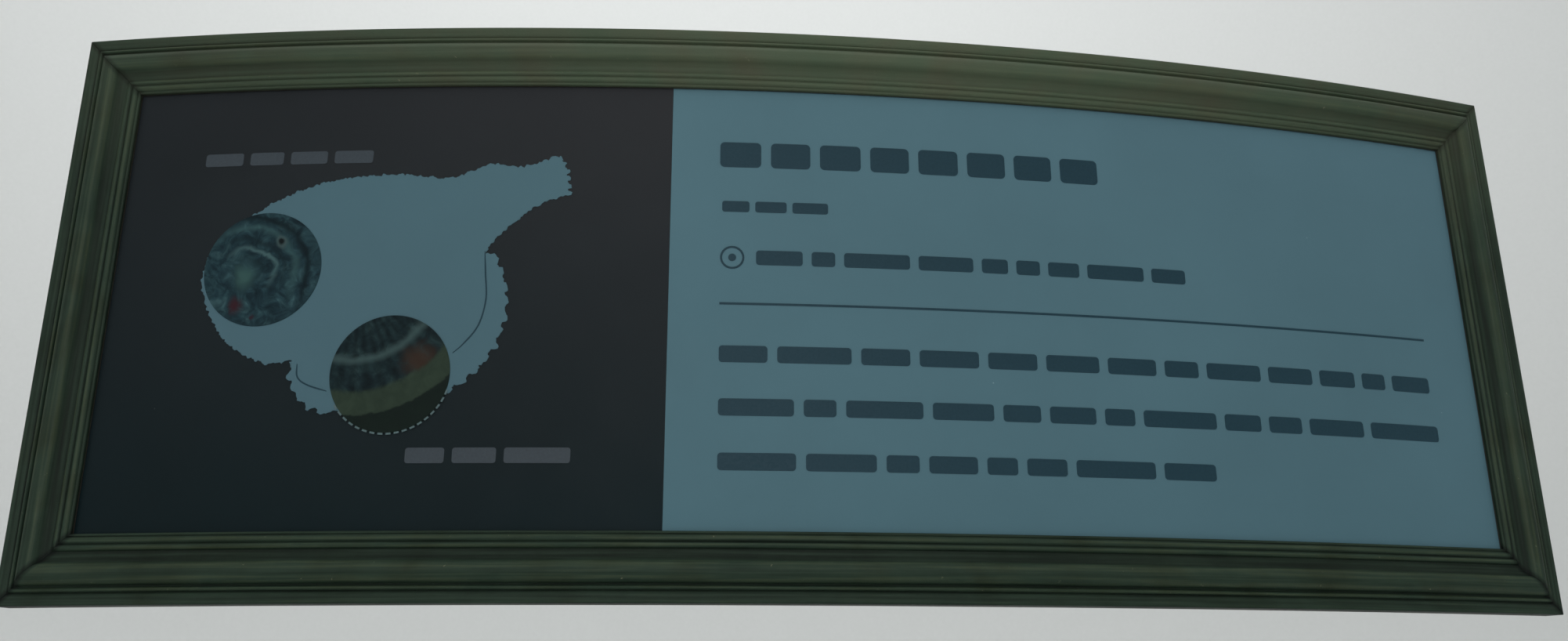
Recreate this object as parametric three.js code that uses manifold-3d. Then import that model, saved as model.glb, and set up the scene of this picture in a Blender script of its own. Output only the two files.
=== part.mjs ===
// A framed species label, bent to fit the outside of a round fish tank.
//
// Millimetres, +X right, +Z up, -Y towards the reader and +Y into the tank wall. The origin is the
// middle of the centre tape's back face, which is where the label is stuck to the wall.
//
// Every piece of the front is drawn flat first, as (along, up, out): along the curve from the
// label's centre line, up from its middle, and out from the printed face towards the reader.
// Bending then wraps those flat pieces round the upright axis of the tank.

import * as THREE from 'three';
import { mergeVertices } from 'three/addons/utils/BufferGeometryUtils.js';
import { TessellateModifier } from 'three/addons/modifiers/TessellateModifier.js';
import Module from 'manifold-3d';

const wasm = await Module();
wasm.setup();

// The label as a whole
const labelWidth = 297; // along the curve of the face
const labelHeight = 111;
const faceRadius = 650; // of the printed face, about the tank's axis
const bendSteps = 30; // flats that stand for the curve across the whole width

// The frame: four mitred lengths of one moulding
const railWidth = 12.5;
const railBackDepth = 3.4; // from the face back to the frame's rear
const rebateWall = 5.5; // solid outer part of the moulding, behind which the panel is dropped in
const lipClearance = 0.1; // between the moulding's lip and the face
const mitreGap = 0.1; // at each rail's end, along the rail

// The panel in the rebate: printed face sheets on a stiff board
const panelEdge = rebateWall + 0.3; // from the frame's outer edge
const sheetThickness = 0.6;
const boardThickness = 2.45;
const layerGap = 0.05; // between two layers that lie on each other
const splitAlong = -30.8; // where the dark picture field meets the pale text field
const splitGap = 0.1;

// The picture: a fish cut from thin film, and two round close-ups laid over it
const filmThickness = 0.3;
const filmEdgeLength = 6; // longest edge of a film facet, so that it can follow the curve
const headInset = { along: -107, up: 6, radius: 11.2 };
const finInset = { along: -81, up: -14.5, radius: 11 };
const insetSegments = 40;

// Fixings behind: foam tape to the wall, and small steel turn buttons that hold the board
const tape = { width: 19, height: 72, thickness: 2, front: 3.25, spacing: 100 };
const wallDepth = tape.front + tape.thickness; // from the face back to the tank wall
const button = { width: 5, length: 12.4, thickness: 0.6, front: railBackDepth + 0.1 };
const screwInset = 2.75; // screw centre from the frame's outer edge
const screw = { headRadius: 1.85, headHeight: 0.85, shankRadius: 0.7, shankLength: 2.8 };
const pilotHole = { radius: 0.9, depth: 2.6, segments: 12 };
const buttonsAlong = 78; // from the centre line, on the top and bottom rails

// Finishes
const finishes = {
  frame: { color: 0x323d31, roughness: 0.55, metalness: 0.1 },
  darkSheet: { color: 0x1e252a, roughness: 0.6, metalness: 0 },
  paleSheet: { color: 0x4f6e78, roughness: 0.6, metalness: 0 },
  fishFilm: { color: 0x4a6670, roughness: 0.5, metalness: 0 },
  headPicture: { color: 0x25393d, roughness: 0.5, metalness: 0 },
  finPicture: { color: 0x242d2b, roughness: 0.5, metalness: 0 },
  board: { color: 0x64442d, roughness: 0.85, metalness: 0 },
  foam: { color: 0xa9aaa6, roughness: 0.9, metalness: 0 },
  steel: { color: 0xb2b6b9, roughness: 0.35, metalness: 0.9 },
};

const label = new THREE.Group();

function addMesh(name, geometry, finish, parent = label) {
  const mesh = new THREE.Mesh(geometry, new THREE.MeshStandardMaterial(finishes[finish]));
  mesh.name = name;
  parent.add(mesh);
  return mesh;
}

// Wraps a flat geometry, drawn as (along, up, out), round the tank.
function bend(geometry) {
  const position = geometry.getAttribute('position');
  for (let i = 0; i < position.count; i++) {
    const angle = position.getX(i) / faceRadius;
    const up = position.getY(i);
    const radius = faceRadius + position.getZ(i);
    position.setXYZ(
      i,
      radius * Math.sin(angle),
      faceRadius - radius * Math.cos(angle) - wallDepth,
      up,
    );
  }
  geometry.computeVertexNormals();
  return geometry;
}

// A group whose -Y looks straight out of the face at this place along the curve.
function stationAt(along, up) {
  const angle = along / faceRadius;
  const station = new THREE.Group();
  station.position.set(
    faceRadius * Math.sin(angle),
    faceRadius - faceRadius * Math.cos(angle) - wallDepth,
    up,
  );
  station.rotation.z = angle;
  return station;
}

// A closed body from equal rings of points, one at each station, with a flat cap at both ends. The
// outline runs anticlockwise as seen from the last ring.
function skinRings(rings, outline) {
  const perRing = outline.length;
  const positions = rings.flat().flatMap((p) => [p.x, p.y, p.z]);
  const indices = [];
  for (let r = 0; r < rings.length - 1; r++) {
    for (let i = 0; i < perRing; i++) {
      const j = (i + 1) % perRing;
      const [a, b] = [r * perRing + i, r * perRing + j];
      const [c, d] = [a + perRing, b + perRing];
      indices.push(a, b, c, b, d, c);
    }
  }
  const last = (rings.length - 1) * perRing;
  for (const [a, b, c] of THREE.ShapeUtils.triangulateShape(outline, [])) {
    indices.push(a, c, b, last + a, last + b, last + c);
  }
  const geometry = new THREE.BufferGeometry();
  geometry.setAttribute('position', new THREE.Float32BufferAttribute(positions, 3));
  geometry.setIndex(indices);
  return geometry;
}

// The moulding's section, as (in from the outer edge, out from the face): a square outer edge, a
// small fillet bead, a broad round, a long cove and a double bead at the sight edge.
function mouldingSection() {
  const s = new THREE.Shape();
  s.moveTo(0, -railBackDepth);
  s.lineTo(0, 0.75);
  s.quadraticCurveTo(0, 1.1, 0.4, 1.1); // outer arris
  s.lineTo(1.1, 1.08);
  s.quadraticCurveTo(1.9, 1.05, 2.2, 0.7); // quirk
  s.lineTo(2.35, 0.95);
  s.quadraticCurveTo(2.7, 1.6, 3.05, 1.05); // fillet bead
  s.lineTo(3.35, 0.8); // groove
  s.lineTo(3.6, 1.1);
  s.bezierCurveTo(3.9, 2.9, 6.7, 2.9, 7.2, 1.75); // broad round
  s.quadraticCurveTo(7.7, 0.8, 9.3, 0.75); // cove
  s.lineTo(9.5, 1.0);
  s.quadraticCurveTo(10.05, 1.65, 10.6, 1.0); // outer bead of the pair
  s.quadraticCurveTo(11.2, 1.65, 11.8, 1.0); // inner bead of the pair
  s.lineTo(12, 0.85);
  s.lineTo(12.15, 0.98);
  s.quadraticCurveTo(railWidth, 0.95, railWidth, 0.6); // sight edge
  s.lineTo(railWidth, lipClearance);
  s.lineTo(rebateWall, lipClearance);
  s.lineTo(rebateWall, -railBackDepth);
  return s.extractPoints(3).shape.reverse();
}

// One mitred rail in the flat. Quarter turns of the bottom rail give the other three.
function flatRail(length, across, quarterTurns, steps) {
  const outline = mouldingSection();
  const rings = [];
  for (let step = 0; step <= steps; step++) {
    const share = (2 * step) / steps - 1;
    rings.push(
      outline.map((p) => {
        const along = share * (length / 2 - p.x - mitreGap);
        return new THREE.Vector3(along, p.x - across / 2, p.y);
      }),
    );
  }
  return skinRings(rings, outline).rotateZ((quarterTurns * Math.PI) / 2);
}

// A flat strip with enough cross lines to follow the curve.
function flatStrip(fromAlong, toAlong, halfHeight, back, front) {
  const steps = Math.ceil(((toAlong - fromAlong) / labelWidth) * bendSteps);
  const width = toAlong - fromAlong;
  return new THREE.BoxGeometry(width, 2 * halfHeight, front - back, steps, 1, 1).translate(
    (fromAlong + toAlong) / 2,
    0,
    (back + front) / 2,
  );
}

// The same faces with their shared corners joined, holding positions only.
function closedMesh(geometry) {
  const mergeDistance = 1e-4;
  const bare = geometry.clone();
  for (const name of Object.keys(bare.attributes)) {
    if (name !== 'position') bare.deleteAttribute(name);
  }
  return mergeVertices(bare, mergeDistance);
}

function toSolid(geometry) {
  const merged = closedMesh(geometry);
  return new wasm.Manifold(
    new wasm.Mesh({
      numProp: 3,
      vertProperties: new Float32Array(merged.getAttribute('position').array),
      triVerts: new Uint32Array(merged.getIndex().array),
    }),
  );
}

function fromSolid(solid) {
  const mesh = solid.getMesh();
  const geometry = new THREE.BufferGeometry();
  geometry.setAttribute('position', new THREE.Float32BufferAttribute(mesh.vertProperties, 3));
  geometry.setIndex(Array.from(mesh.triVerts));
  geometry.computeVertexNormals();
  return geometry;
}

// Places of the six turn buttons: where each screw stands, the rail that it is in, and the
// quarter turns that point the button from the screw towards the middle of the label.
const sideUp = labelHeight / 2 - screwInset;
const sideAlong = labelWidth / 2 - screwInset;
const buttonPlaces = [
  { name: 'bottom_left', rail: 'bottom', along: -buttonsAlong, up: -sideUp, turns: 0 },
  { name: 'bottom_right', rail: 'bottom', along: buttonsAlong, up: -sideUp, turns: 0 },
  { name: 'top_left', rail: 'top', along: -buttonsAlong, up: sideUp, turns: 2 },
  { name: 'top_right', rail: 'top', along: buttonsAlong, up: sideUp, turns: 2 },
  { name: 'left', rail: 'left', along: -sideAlong, up: 0, turns: 3 },
  { name: 'right', rail: 'right', along: sideAlong, up: 0, turns: 1 },
];

// The hole that a button's screw turns into, bored from the rail's back.
function pilotHoleAt(place) {
  const overshoot = 1;
  const length = pilotHole.depth + overshoot;
  const bit = new THREE.CylinderGeometry(
    pilotHole.radius,
    pilotHole.radius,
    length,
    pilotHole.segments,
  ).translate(0, railBackDepth + overshoot - length / 2, 0);
  const station = stationAt(place.along, place.up);
  station.updateMatrix();
  return bit.applyMatrix4(station.matrix);
}

function addFrame() {
  const rails = [
    { name: 'bottom', length: labelWidth, across: labelHeight, turns: 0, steps: bendSteps },
    { name: 'right', length: labelHeight, across: labelWidth, turns: 1, steps: 1 },
    { name: 'top', length: labelWidth, across: labelHeight, turns: 2, steps: bendSteps },
    { name: 'left', length: labelHeight, across: labelWidth, turns: 3, steps: 1 },
  ];
  for (const { name, length, across, turns, steps } of rails) {
    let solid = toSolid(bend(flatRail(length, across, turns, steps)));
    for (const place of buttonPlaces.filter((p) => p.rail === name)) {
      solid = solid.subtract(toSolid(pilotHoleAt(place)));
    }
    addMesh(`rail_${name}`, fromSolid(solid), 'frame');
  }
}

function addPanel() {
  const halfWidth = labelWidth / 2 - panelEdge;
  const halfHeight = labelHeight / 2 - panelEdge;
  const boardFront = -sheetThickness - layerGap;
  const darkEnd = splitAlong - splitGap / 2;
  const paleStart = splitAlong + splitGap / 2;
  const dark = flatStrip(-halfWidth, darkEnd, halfHeight, -sheetThickness, 0);
  const pale = flatStrip(paleStart, halfWidth, halfHeight, -sheetThickness, 0);
  const board = flatStrip(-halfWidth, halfWidth, halfHeight, boardFront - boardThickness, boardFront);
  addMesh('face_sheet_dark', bend(closedMesh(dark)), 'darkSheet');
  addMesh('face_sheet_pale', bend(closedMesh(pale)), 'paleSheet');
  addMesh('backing_board', bend(closedMesh(board)), 'board');
}

// A fan's scalloped rim, one shallow bay between each two rays. Angles are in degrees.
function fanRim({ along, up, radius, from, to, rays, bay }) {
  const perRay = 3;
  const points = [];
  for (let i = 0; i <= rays * perRay; i++) {
    const share = i / (rays * perRay);
    const angle = THREE.MathUtils.degToRad(THREE.MathUtils.lerp(from, to, share));
    const r = radius - bay * Math.sin(Math.PI * ((share * rays) % 1)) ** 2;
    points.push(new THREE.Vector2(along + r * Math.cos(angle), up + r * Math.sin(angle)));
  }
  return points;
}

function smoothRun(corners, pointsPerCorner = 3) {
  const curve = new THREE.SplineCurve(corners.map(([x, y]) => new THREE.Vector2(x, y)));
  return curve.getPoints(pointsPerCorner * (corners.length - 1));
}

// A stonefish seen from above and ahead: heavy head to the left, tail up to the right, and the
// near pectoral fin spread below. Clockwise from the notch behind the far fin.
const tailFan = { along: -60, up: 22, radius: 10.4, from: 38, to: -8, rays: 5, bay: 0.8 };
const nearFin = { along: -79, up: -1.5, radius: 18.8, from: 30, to: -62, rays: 10, bay: 0.7 };
const farFin = { along: -91.5, up: -13.6, radius: 8.3, from: -100, to: -190, rays: 5, bay: 0.6 };
const headAndBack = [
  [-99, -11.6], // behind the far fin
  [-104.5, -12.2], // throat
  [-111.8, -8.4], // jaw
  [-116.8, -1.2], // chin
  [-118.4, 5.4], // upturned mouth
  [-115.6, 12], // brow
  [-107.4, 18.6], // nape
  [-96.4, 23.2], // shoulder hump
  [-84, 24.6],
  [-72.6, 23.8],
  [-65.2, 26.6], // rear lobe of the back fin
  [-59.4, 25.8], // tail root
];
const tailUnderside = [
  [-55.4, 18.9],
  [-60.2, 14.8],
  [-63.8, 11],
  [-65.2, 8.6], // armpit of the near fin
];
const belly = [
  [-77.5, -19.6],
  [-85.5, -20.6],
];

function fishOutline() {
  return [
    ...smoothRun(headAndBack),
    ...fanRim(tailFan),
    ...smoothRun(tailUnderside),
    ...fanRim(nearFin),
    ...smoothRun(belly, 2),
    ...fanRim(farFin),
  ];
}

// A thin film piece, split into facets small enough to lie on the curve.
function filmPiece(shape, back) {
  const solid = new THREE.ExtrudeGeometry(shape, {
    depth: filmThickness,
    bevelEnabled: false,
    curveSegments: insetSegments,
  }).translate(0, 0, back);
  const mostRounds = 12;
  const split = new TessellateModifier(filmEdgeLength, mostRounds).modify(solid);
  return bend(closedMesh(split));
}

function addPicture() {
  const discShape = ({ along, up, radius }) => {
    const points = new THREE.EllipseCurve(along, up, radius, radius).getPoints(insetSegments);
    return new THREE.Shape(points.slice(0, -1));
  };
  const firstLayer = layerGap;
  const secondLayer = firstLayer + filmThickness + layerGap;
  addMesh('fish_film', filmPiece(new THREE.Shape(fishOutline()), firstLayer), 'fishFilm');
  addMesh('inset_head', filmPiece(discShape(headInset), secondLayer), 'headPicture');
  addMesh('inset_fin', filmPiece(discShape(finInset), secondLayer), 'finPicture');
}

function addTapes() {
  const places = { left: -tape.spacing, middle: 0, right: tape.spacing };
  for (const [name, along] of Object.entries(places)) {
    const pad = new THREE.BoxGeometry(tape.width, tape.thickness, tape.height);
    const station = stationAt(along, 0);
    label.add(station);
    const mesh = addMesh(`tape_${name}`, pad, 'foam', station);
    mesh.position.y = tape.front + tape.thickness / 2;
  }
}

// A round-ended plate with a hole for its screw at the origin, reaching up towards the board.
function buttonGeometry() {
  const halfWidth = button.width / 2;
  const outline = new THREE.Shape();
  outline.absarc(0, 0, halfWidth, Math.PI, 2 * Math.PI, false);
  outline.absarc(0, button.length - button.width, halfWidth, 0, Math.PI, false);
  const hole = new THREE.Path().absarc(0, 0, pilotHole.radius, 0, 2 * Math.PI, true);
  outline.holes.push(hole);
  return new THREE.ExtrudeGeometry(outline, {
    depth: button.thickness,
    bevelEnabled: false,
    curveSegments: 5,
  });
}

// A pan-head wood screw, its head towards +Y.
function screwGeometry() {
  const { headRadius, headHeight, shankRadius, shankLength } = screw;
  const profile = [
    [0, -shankLength],
    [shankRadius * 0.6, -shankLength],
    [shankRadius, -shankLength + 0.5],
    [shankRadius, 0],
    [headRadius, 0],
    [headRadius * 0.95, headHeight * 0.45],
    [headRadius * 0.65, headHeight * 0.88],
    [0, headHeight],
  ];
  return new THREE.LatheGeometry(profile.map(([x, y]) => new THREE.Vector2(x, y)), 12);
}

function addButtons() {
  const headSeat = button.front + button.thickness + layerGap;
  for (const { name, along, up, turns } of buttonPlaces) {
    const station = stationAt(along, up);
    label.add(station);
    const plate = addMesh(`button_${name}`, buttonGeometry(), 'steel', station);
    plate.rotation.set(Math.PI / 2, 0, (turns * Math.PI) / 2);
    plate.position.y = button.front + button.thickness;
    const fixing = addMesh(`screw_${name}`, screwGeometry(), 'steel', station);
    fixing.position.y = headSeat;
  }
}

addFrame();
addPanel();
addPicture();
addTapes();
addButtons();

export default label;
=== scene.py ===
# A framed species label, bent to a round curve.
import math

import bmesh
import bpy
from mathutils import Matrix, Vector, noise


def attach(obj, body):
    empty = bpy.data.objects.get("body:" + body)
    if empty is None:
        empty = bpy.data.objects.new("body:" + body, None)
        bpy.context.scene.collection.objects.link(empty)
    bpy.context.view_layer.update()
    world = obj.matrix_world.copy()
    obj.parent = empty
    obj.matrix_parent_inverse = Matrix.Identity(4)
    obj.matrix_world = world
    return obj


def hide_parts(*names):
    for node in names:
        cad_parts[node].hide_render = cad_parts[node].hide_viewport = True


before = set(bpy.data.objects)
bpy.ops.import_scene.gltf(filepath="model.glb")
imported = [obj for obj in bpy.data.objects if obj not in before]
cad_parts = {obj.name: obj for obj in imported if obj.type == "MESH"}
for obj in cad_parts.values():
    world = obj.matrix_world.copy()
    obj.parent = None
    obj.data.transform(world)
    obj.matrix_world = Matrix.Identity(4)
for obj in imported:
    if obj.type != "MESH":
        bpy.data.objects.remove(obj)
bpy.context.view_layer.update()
scene = bpy.context.scene
scene.view_settings.view_transform = "Standard"

# Every piece is drawn flat first, in millimetres, as (along, up, out): along the curve from the
# label's centre line, up from its middle, and out from the printed face towards the reader.
labelForm = {
    "width": 297.0,
    "height": 111.0,
    "faceRadius": 650.0,  # of the printed face, about the axis of the curve
    "tapeDepth": 5.25,  # from the face to the back of the tape
    "stepLength": 4.0,  # between the cross lines that let a flat piece follow the curve
}
mm = 0.001
tiny = 1e-6  # less than any real length here
halfWidth = labelForm["width"] / 2
halfHeight = labelForm["height"] / 2


# An sRGB hex colour in linear light.
def linear(hexColour):
    shares = [int(hexColour[i:i + 2], 16) / 255 for i in (1, 3, 5)]
    return (*[s / 12.92 if s <= 0.04045 else ((s + 0.055) / 1.055) ** 2.4 for s in shares], 1.0)


# Adds a node with its settings and links. The inputs fill its shown sockets in order, where None
# leaves one as it is, and a dictionary among them fills sockets by name. A node given as an
# input stands for its first shown output. Stops are a colour ramp's places and colours.
def addNode(tree, kind, *inputs, stops=None, **settings):
    node = tree.nodes.new(kind)
    for setting, value in settings.items():
        setattr(node, setting, value)
    if stops:
        ramp = node.color_ramp.elements
        for element, (place, colour) in ((ramp[0], stops[0]), (ramp[1], stops[-1])):
            element.position = place
            element.color = linear(colour)
        for place, colour in stops[1:-1]:
            ramp.new(place).color = linear(colour)
    shown = [socket for socket in node.inputs if socket.enabled]
    wanted = []
    for socket, value in zip(shown, inputs):
        if value is not None and not isinstance(value, dict):
            wanted.append((socket, value))
    for named in (value for value in inputs if isinstance(value, dict)):
        for name, value in named.items():
            wanted.append((next(s for s in shown if s.name == name), value))
    for socket, value in wanted:
        for source in value if isinstance(value, list) else [value]:
            if isinstance(source, bpy.types.Node):
                source = next(s for s in source.outputs if s.enabled)
            if isinstance(source, bpy.types.NodeSocket):
                tree.links.new(source, socket)
            elif isinstance(source, str) and source.startswith("#"):
                socket.default_value = linear(source)
            else:
                socket.default_value = source
    return node


# The camera stands low and left of the middle, close to the label, and looks up at it.
cameraForm = {
    "place": (-31.88, -229.66, -72.22),
    "yaw": 5.76,
    "pitch": 16.85,
    "roll": 0.11,
    "lens": 29.1,
    "sensor": 36.0,
    "nearest": 10.0,  # the closest thing it shows
}


def makeCamera(form):
    data = bpy.data.cameras.new("labelCamera")
    data.lens = form["lens"]
    data.sensor_width = form["sensor"]
    data.clip_start = form["nearest"] * mm
    camera = bpy.data.objects.new("labelCamera", data)
    scene.collection.objects.link(camera)
    turn = (
        Matrix.Rotation(math.radians(-form["yaw"]), 4, "Z")
        @ Matrix.Rotation(math.radians(90 + form["pitch"]), 4, "X")
        @ Matrix.Rotation(math.radians(-form["roll"]), 4, "Z")
    )
    camera.matrix_world = Matrix.Translation(Vector(form["place"]) * mm) @ turn
    scene.camera = camera


makeCamera(cameraForm)
print("camera placed")


# A Geometry Nodes tree with named inputs. A number gives its input's kind and start value, and a
# word is the kind of an input that has none.
def newTree(name, inputs):
    tree = bpy.data.node_groups.new(name, "GeometryNodeTree")
    sides = tree.interface
    sides.new_socket("Geometry", in_out="INPUT", socket_type="NodeSocketGeometry")
    for label, value in inputs.items():
        kind = {float: "Float", int: "Int", tuple: "Vector"}.get(type(value), value)
        socket = sides.new_socket(label, in_out="INPUT", socket_type=f"NodeSocket{kind}")
        if kind != value:
            socket.default_value = value
    sides.new_socket("Geometry", in_out="OUTPUT", socket_type="NodeSocketGeometry")
    return tree, tree.nodes.new("NodeGroupInput").outputs


# Wraps flat geometry round the curve and turns it to metres. Each point keeps its flat place, in
# metres, as an attribute that the prints are painted by.
def makeBendTree():
    tree, given = newTree("bendToCurve", {
        "Face Radius": labelForm["faceRadius"],
        "Tape Depth": labelForm["tapeDepth"],
    })
    place = addNode(tree, "GeometryNodeInputPosition")
    flat = addNode(tree, "ShaderNodeVectorMath", place, {"Scale": mm}, operation="SCALE")
    marked = addNode(tree, "GeometryNodeStoreNamedAttribute", given["Geometry"], None, "flat", flat,
                     data_type="FLOAT_VECTOR", domain="POINT")
    along, up, out = addNode(tree, "ShaderNodeSeparateXYZ", place).outputs
    angle = addNode(tree, "ShaderNodeMath", along, given["Face Radius"], operation="DIVIDE")
    radius = addNode(tree, "ShaderNodeMath", out, given["Face Radius"], operation="ADD")
    sine = addNode(tree, "ShaderNodeMath", angle, operation="SINE")
    cosine = addNode(tree, "ShaderNodeMath", angle, operation="COSINE")
    across = addNode(tree, "ShaderNodeMath", radius, sine, operation="MULTIPLY")
    towards = addNode(tree, "ShaderNodeMath", radius, cosine, operation="MULTIPLY")
    behind = addNode(tree, "ShaderNodeMath", given["Face Radius"], given["Tape Depth"],
                     operation="SUBTRACT")
    depth = addNode(tree, "ShaderNodeMath", behind, towards, operation="SUBTRACT")
    bent = addNode(tree, "ShaderNodeCombineXYZ", across, depth, up)
    metres = addNode(tree, "ShaderNodeVectorMath", bent, {"Scale": mm}, operation="SCALE")
    moved = addNode(tree, "GeometryNodeSetPosition", marked, None, metres)
    addNode(tree, "NodeGroupOutput", moved)
    return tree


# Gives an open flat sheet its thickness, towards the reader, as a closed body.
def makeThickenTree():
    tree, given = newTree("thickenFilm", {"Thickness": 0.05, "Same Spot": 0.001})
    rise = addNode(tree, "ShaderNodeCombineXYZ", None, None, given["Thickness"])
    front = addNode(tree, "GeometryNodeExtrudeMesh", given["Geometry"], None, rise, 1.0, False)
    back = addNode(tree, "GeometryNodeFlipFaces", given["Geometry"])
    both = addNode(tree, "GeometryNodeJoinGeometry", [front, back])
    closed = addNode(tree, "GeometryNodeMergeByDistance", both, None, given["Same Spot"])
    addNode(tree, "NodeGroupOutput", closed)
    return tree


bendTree = makeBendTree()
thickenTree = makeThickenTree()


# Ends a tree: makes its copies real, wraps them round the curve and gives them their material.
def endTree(tree, given, flat):
    real = addNode(tree, "GeometryNodeRealizeInstances", flat)
    bent = addNode(tree, "GeometryNodeGroup", {"Geometry": real}, node_tree=bendTree)
    painted = addNode(tree, "GeometryNodeSetMaterial", bent, None, given["Material"])
    addNode(tree, "NodeGroupOutput", painted)
    return tree


# Runs a tree on a flat mesh, if it needs one, and keeps the result as a plain mesh.
def makePiece(name, tree, material, inputs=None, flat=None):
    piece = bpy.data.objects.new(name, flat or bpy.data.meshes.new(name))
    scene.collection.objects.link(piece)
    modifier = piece.modifiers.new(name, "NODES")
    modifier.node_group = tree
    wanted = {**(inputs or {}), "Material": material}
    for item in tree.interface.items_tree:
        if item.in_out == "INPUT" and item.name in wanted:
            modifier[item.identifier] = wanted[item.name]
    evaluated = piece.evaluated_get(bpy.context.evaluated_depsgraph_get())
    mesh = bpy.data.meshes.new_from_object(evaluated)
    piece.modifiers.remove(modifier)
    piece.data = mesh
    return piece


finishForm = {
    "sameSpot": 0.0001,  # points closer than this are one
    "crispAngle": 35,  # in degrees, from which an edge is shaded crisp
}


# Closes and turns out the faces, shades them smooth between crisp edges, and ties the piece to
# the model.
def finishPiece(piece, slot, *replaced):
    work = bmesh.new()
    work.from_mesh(piece.data)
    bmesh.ops.remove_doubles(work, verts=work.verts, dist=finishForm["sameSpot"] * mm)
    bmesh.ops.recalc_face_normals(work, faces=work.faces)
    work.to_mesh(piece.data)
    work.free()
    piece.data.shade_smooth()
    piece.data.set_sharp_from_angle(angle=math.radians(finishForm["crispAngle"]))
    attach(piece, "root")
    if replaced:
        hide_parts(*replaced)


def newMaterial(name):
    material = bpy.data.materials.new(name)
    material.use_nodes = True
    material.node_tree.nodes.clear()
    return material, material.node_tree


# Ends a material. Relief is how far the height from 0 to 1 stands out, in millimetres, and the
# constants are what is the same all over the surface.
def endMaterial(tree, colour, roughness, height, relief, constants=None):
    bump = addNode(tree, "ShaderNodeBump", {"Distance": relief * mm, "Height": height})
    surface = addNode(tree, "ShaderNodeBsdfPrincipled", {
        "Base Color": colour, "Roughness": roughness, "Normal": bump, **(constants or {}),
    })
    addNode(tree, "ShaderNodeOutputMaterial", surface)


# A chain of Bezier runs: one point is a line, two a quadratic curve and three a cubic.
def bezierChain(start, runs, pointsPerRun):
    chain = [Vector(start)]
    for run in runs:
        held = [chain[-1], *map(Vector, run)]
        steps = pointsPerRun if len(run) > 1 else 1
        for step in range(1, steps + 1):
            share = step / steps
            level = held
            while len(level) > 1:
                level = [a.lerp(b, share) for a, b in zip(level, level[1:])]
            chain.append(level[0])
    return chain


# The frame: four mitred lengths of one moulding. The section is drawn as (in from the outer edge,
# out from the face), from the back of the outer edge over the front to the sight edge.
railForm = {
    "width": 12.5,
    "backDepth": 3.4,
    "backChamfer": 0.25,
    "rebateWall": 5.5,  # solid outer part, behind which the panel is dropped in
    "lipClearance": 0.1,
    "mitreGap": 0.04,
    "stepLength": 2.5,
    "pointsPerRun": 9,
    "shiftPerRail": 400.0,  # of the paint's pattern, so that no two rails share their streaks
    "hollowReach": 0.9,  # how far round a point its hollow is judged
    "hollowDepth": 0.22,
    "wiping": [  # place, reach, and how much more or less the wash is wiped back there
        (1.0, 1.4, -0.3),
        (4.0, 0.8, -0.15),
        (5.9, 1.3, 0.4),
    ],
    "frontStart": (0, -0.2),
    "front": [
        [(0, 0.75)],
        [(0, 1.1), (0.4, 1.1)],  # outer arris
        [(0.8, 1.1), (1.1, 1.08)],
        [(1.9, 1.05), (2.2, 0.7)],  # quirk
        [(2.28, 0.68), (2.35, 0.95)],
        [(2.7, 1.6), (3.05, 1.05)],  # fillet bead
        [(3.2, 0.7), (3.35, 0.8)],  # groove
        [(3.5, 0.85), (3.6, 1.1)],
        [(3.9, 2.9), (6.7, 2.9), (7.2, 1.75)],  # broad round
        [(7.7, 0.8), (9.3, 0.75)],  # cove
        [(9.45, 0.74), (9.5, 1.0)],
        [(10.05, 1.65), (10.6, 1.0)],  # pair of beads
        [(11.2, 1.65), (11.8, 1.0)],
        [(11.9, 0.8), (12, 0.85)],
        [(12.05, 0.98), (12.15, 0.98)],
        [(12.5, 0.95), (12.5, 0.6)],  # sight edge
    ],
}


# The section as a closed ring of edges. Each point keeps how hollow the front is there, from -1
# on a high line to 1 in a groove, and whether the paint reaches it.
def mouldingSection(form):
    front = bezierChain(form["frontStart"], form["front"], form["pointsPerRun"])
    back = [
        Vector((form["width"], form["lipClearance"])),
        Vector((form["rebateWall"], form["lipClearance"])),
        Vector((form["rebateWall"], -form["backDepth"])),
        Vector((form["backChamfer"], -form["backDepth"])),
        Vector((0, form["backChamfer"] - form["backDepth"])),
    ]
    section = front + back
    mesh = bpy.data.meshes.new("mouldingSection")
    count = len(section)
    mesh.from_pydata([(*p, 0) for p in section], [(i, (i + 1) % count) for i in range(count)], [])
    hollow = mesh.attributes.new("hollow", "FLOAT", "POINT")
    painted = mesh.attributes.new("painted", "FLOAT", "POINT")
    for i, point in enumerate(front):
        near = [q.y for q in front if abs(q.x - point.x) < form["hollowReach"]]
        depth = (sum(near) / len(near) - point.y) / form["hollowDepth"]
        for place, reach, wiped in form["wiping"]:
            depth -= wiped * max(0, 1 - abs(point.x - place) / reach)
        hollow.data[i].value = max(-1, min(1, depth))
        painted.data[i].value = 1
    return mesh


# Sweeps the section along a line of length 1, with a cross line at each step of the rail.
def sweptSection(tree, given):
    steps = addNode(tree, "ShaderNodeMath", given["Length"], given["Step Length"],
                    operation="DIVIDE")
    count = addNode(tree, "ShaderNodeMath", steps, operation="CEIL")
    line = addNode(tree, "GeometryNodeCurvePrimitiveLine", (0, 0, -0.5), (0, 0, 0.5))
    path = addNode(tree, "GeometryNodeResampleCurve", line, None, count)
    section = addNode(tree, "GeometryNodeMeshToCurve", given["Geometry"])
    return addNode(tree, "GeometryNodeCurveToMesh", path, section, {"Fill Caps": True})


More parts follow.
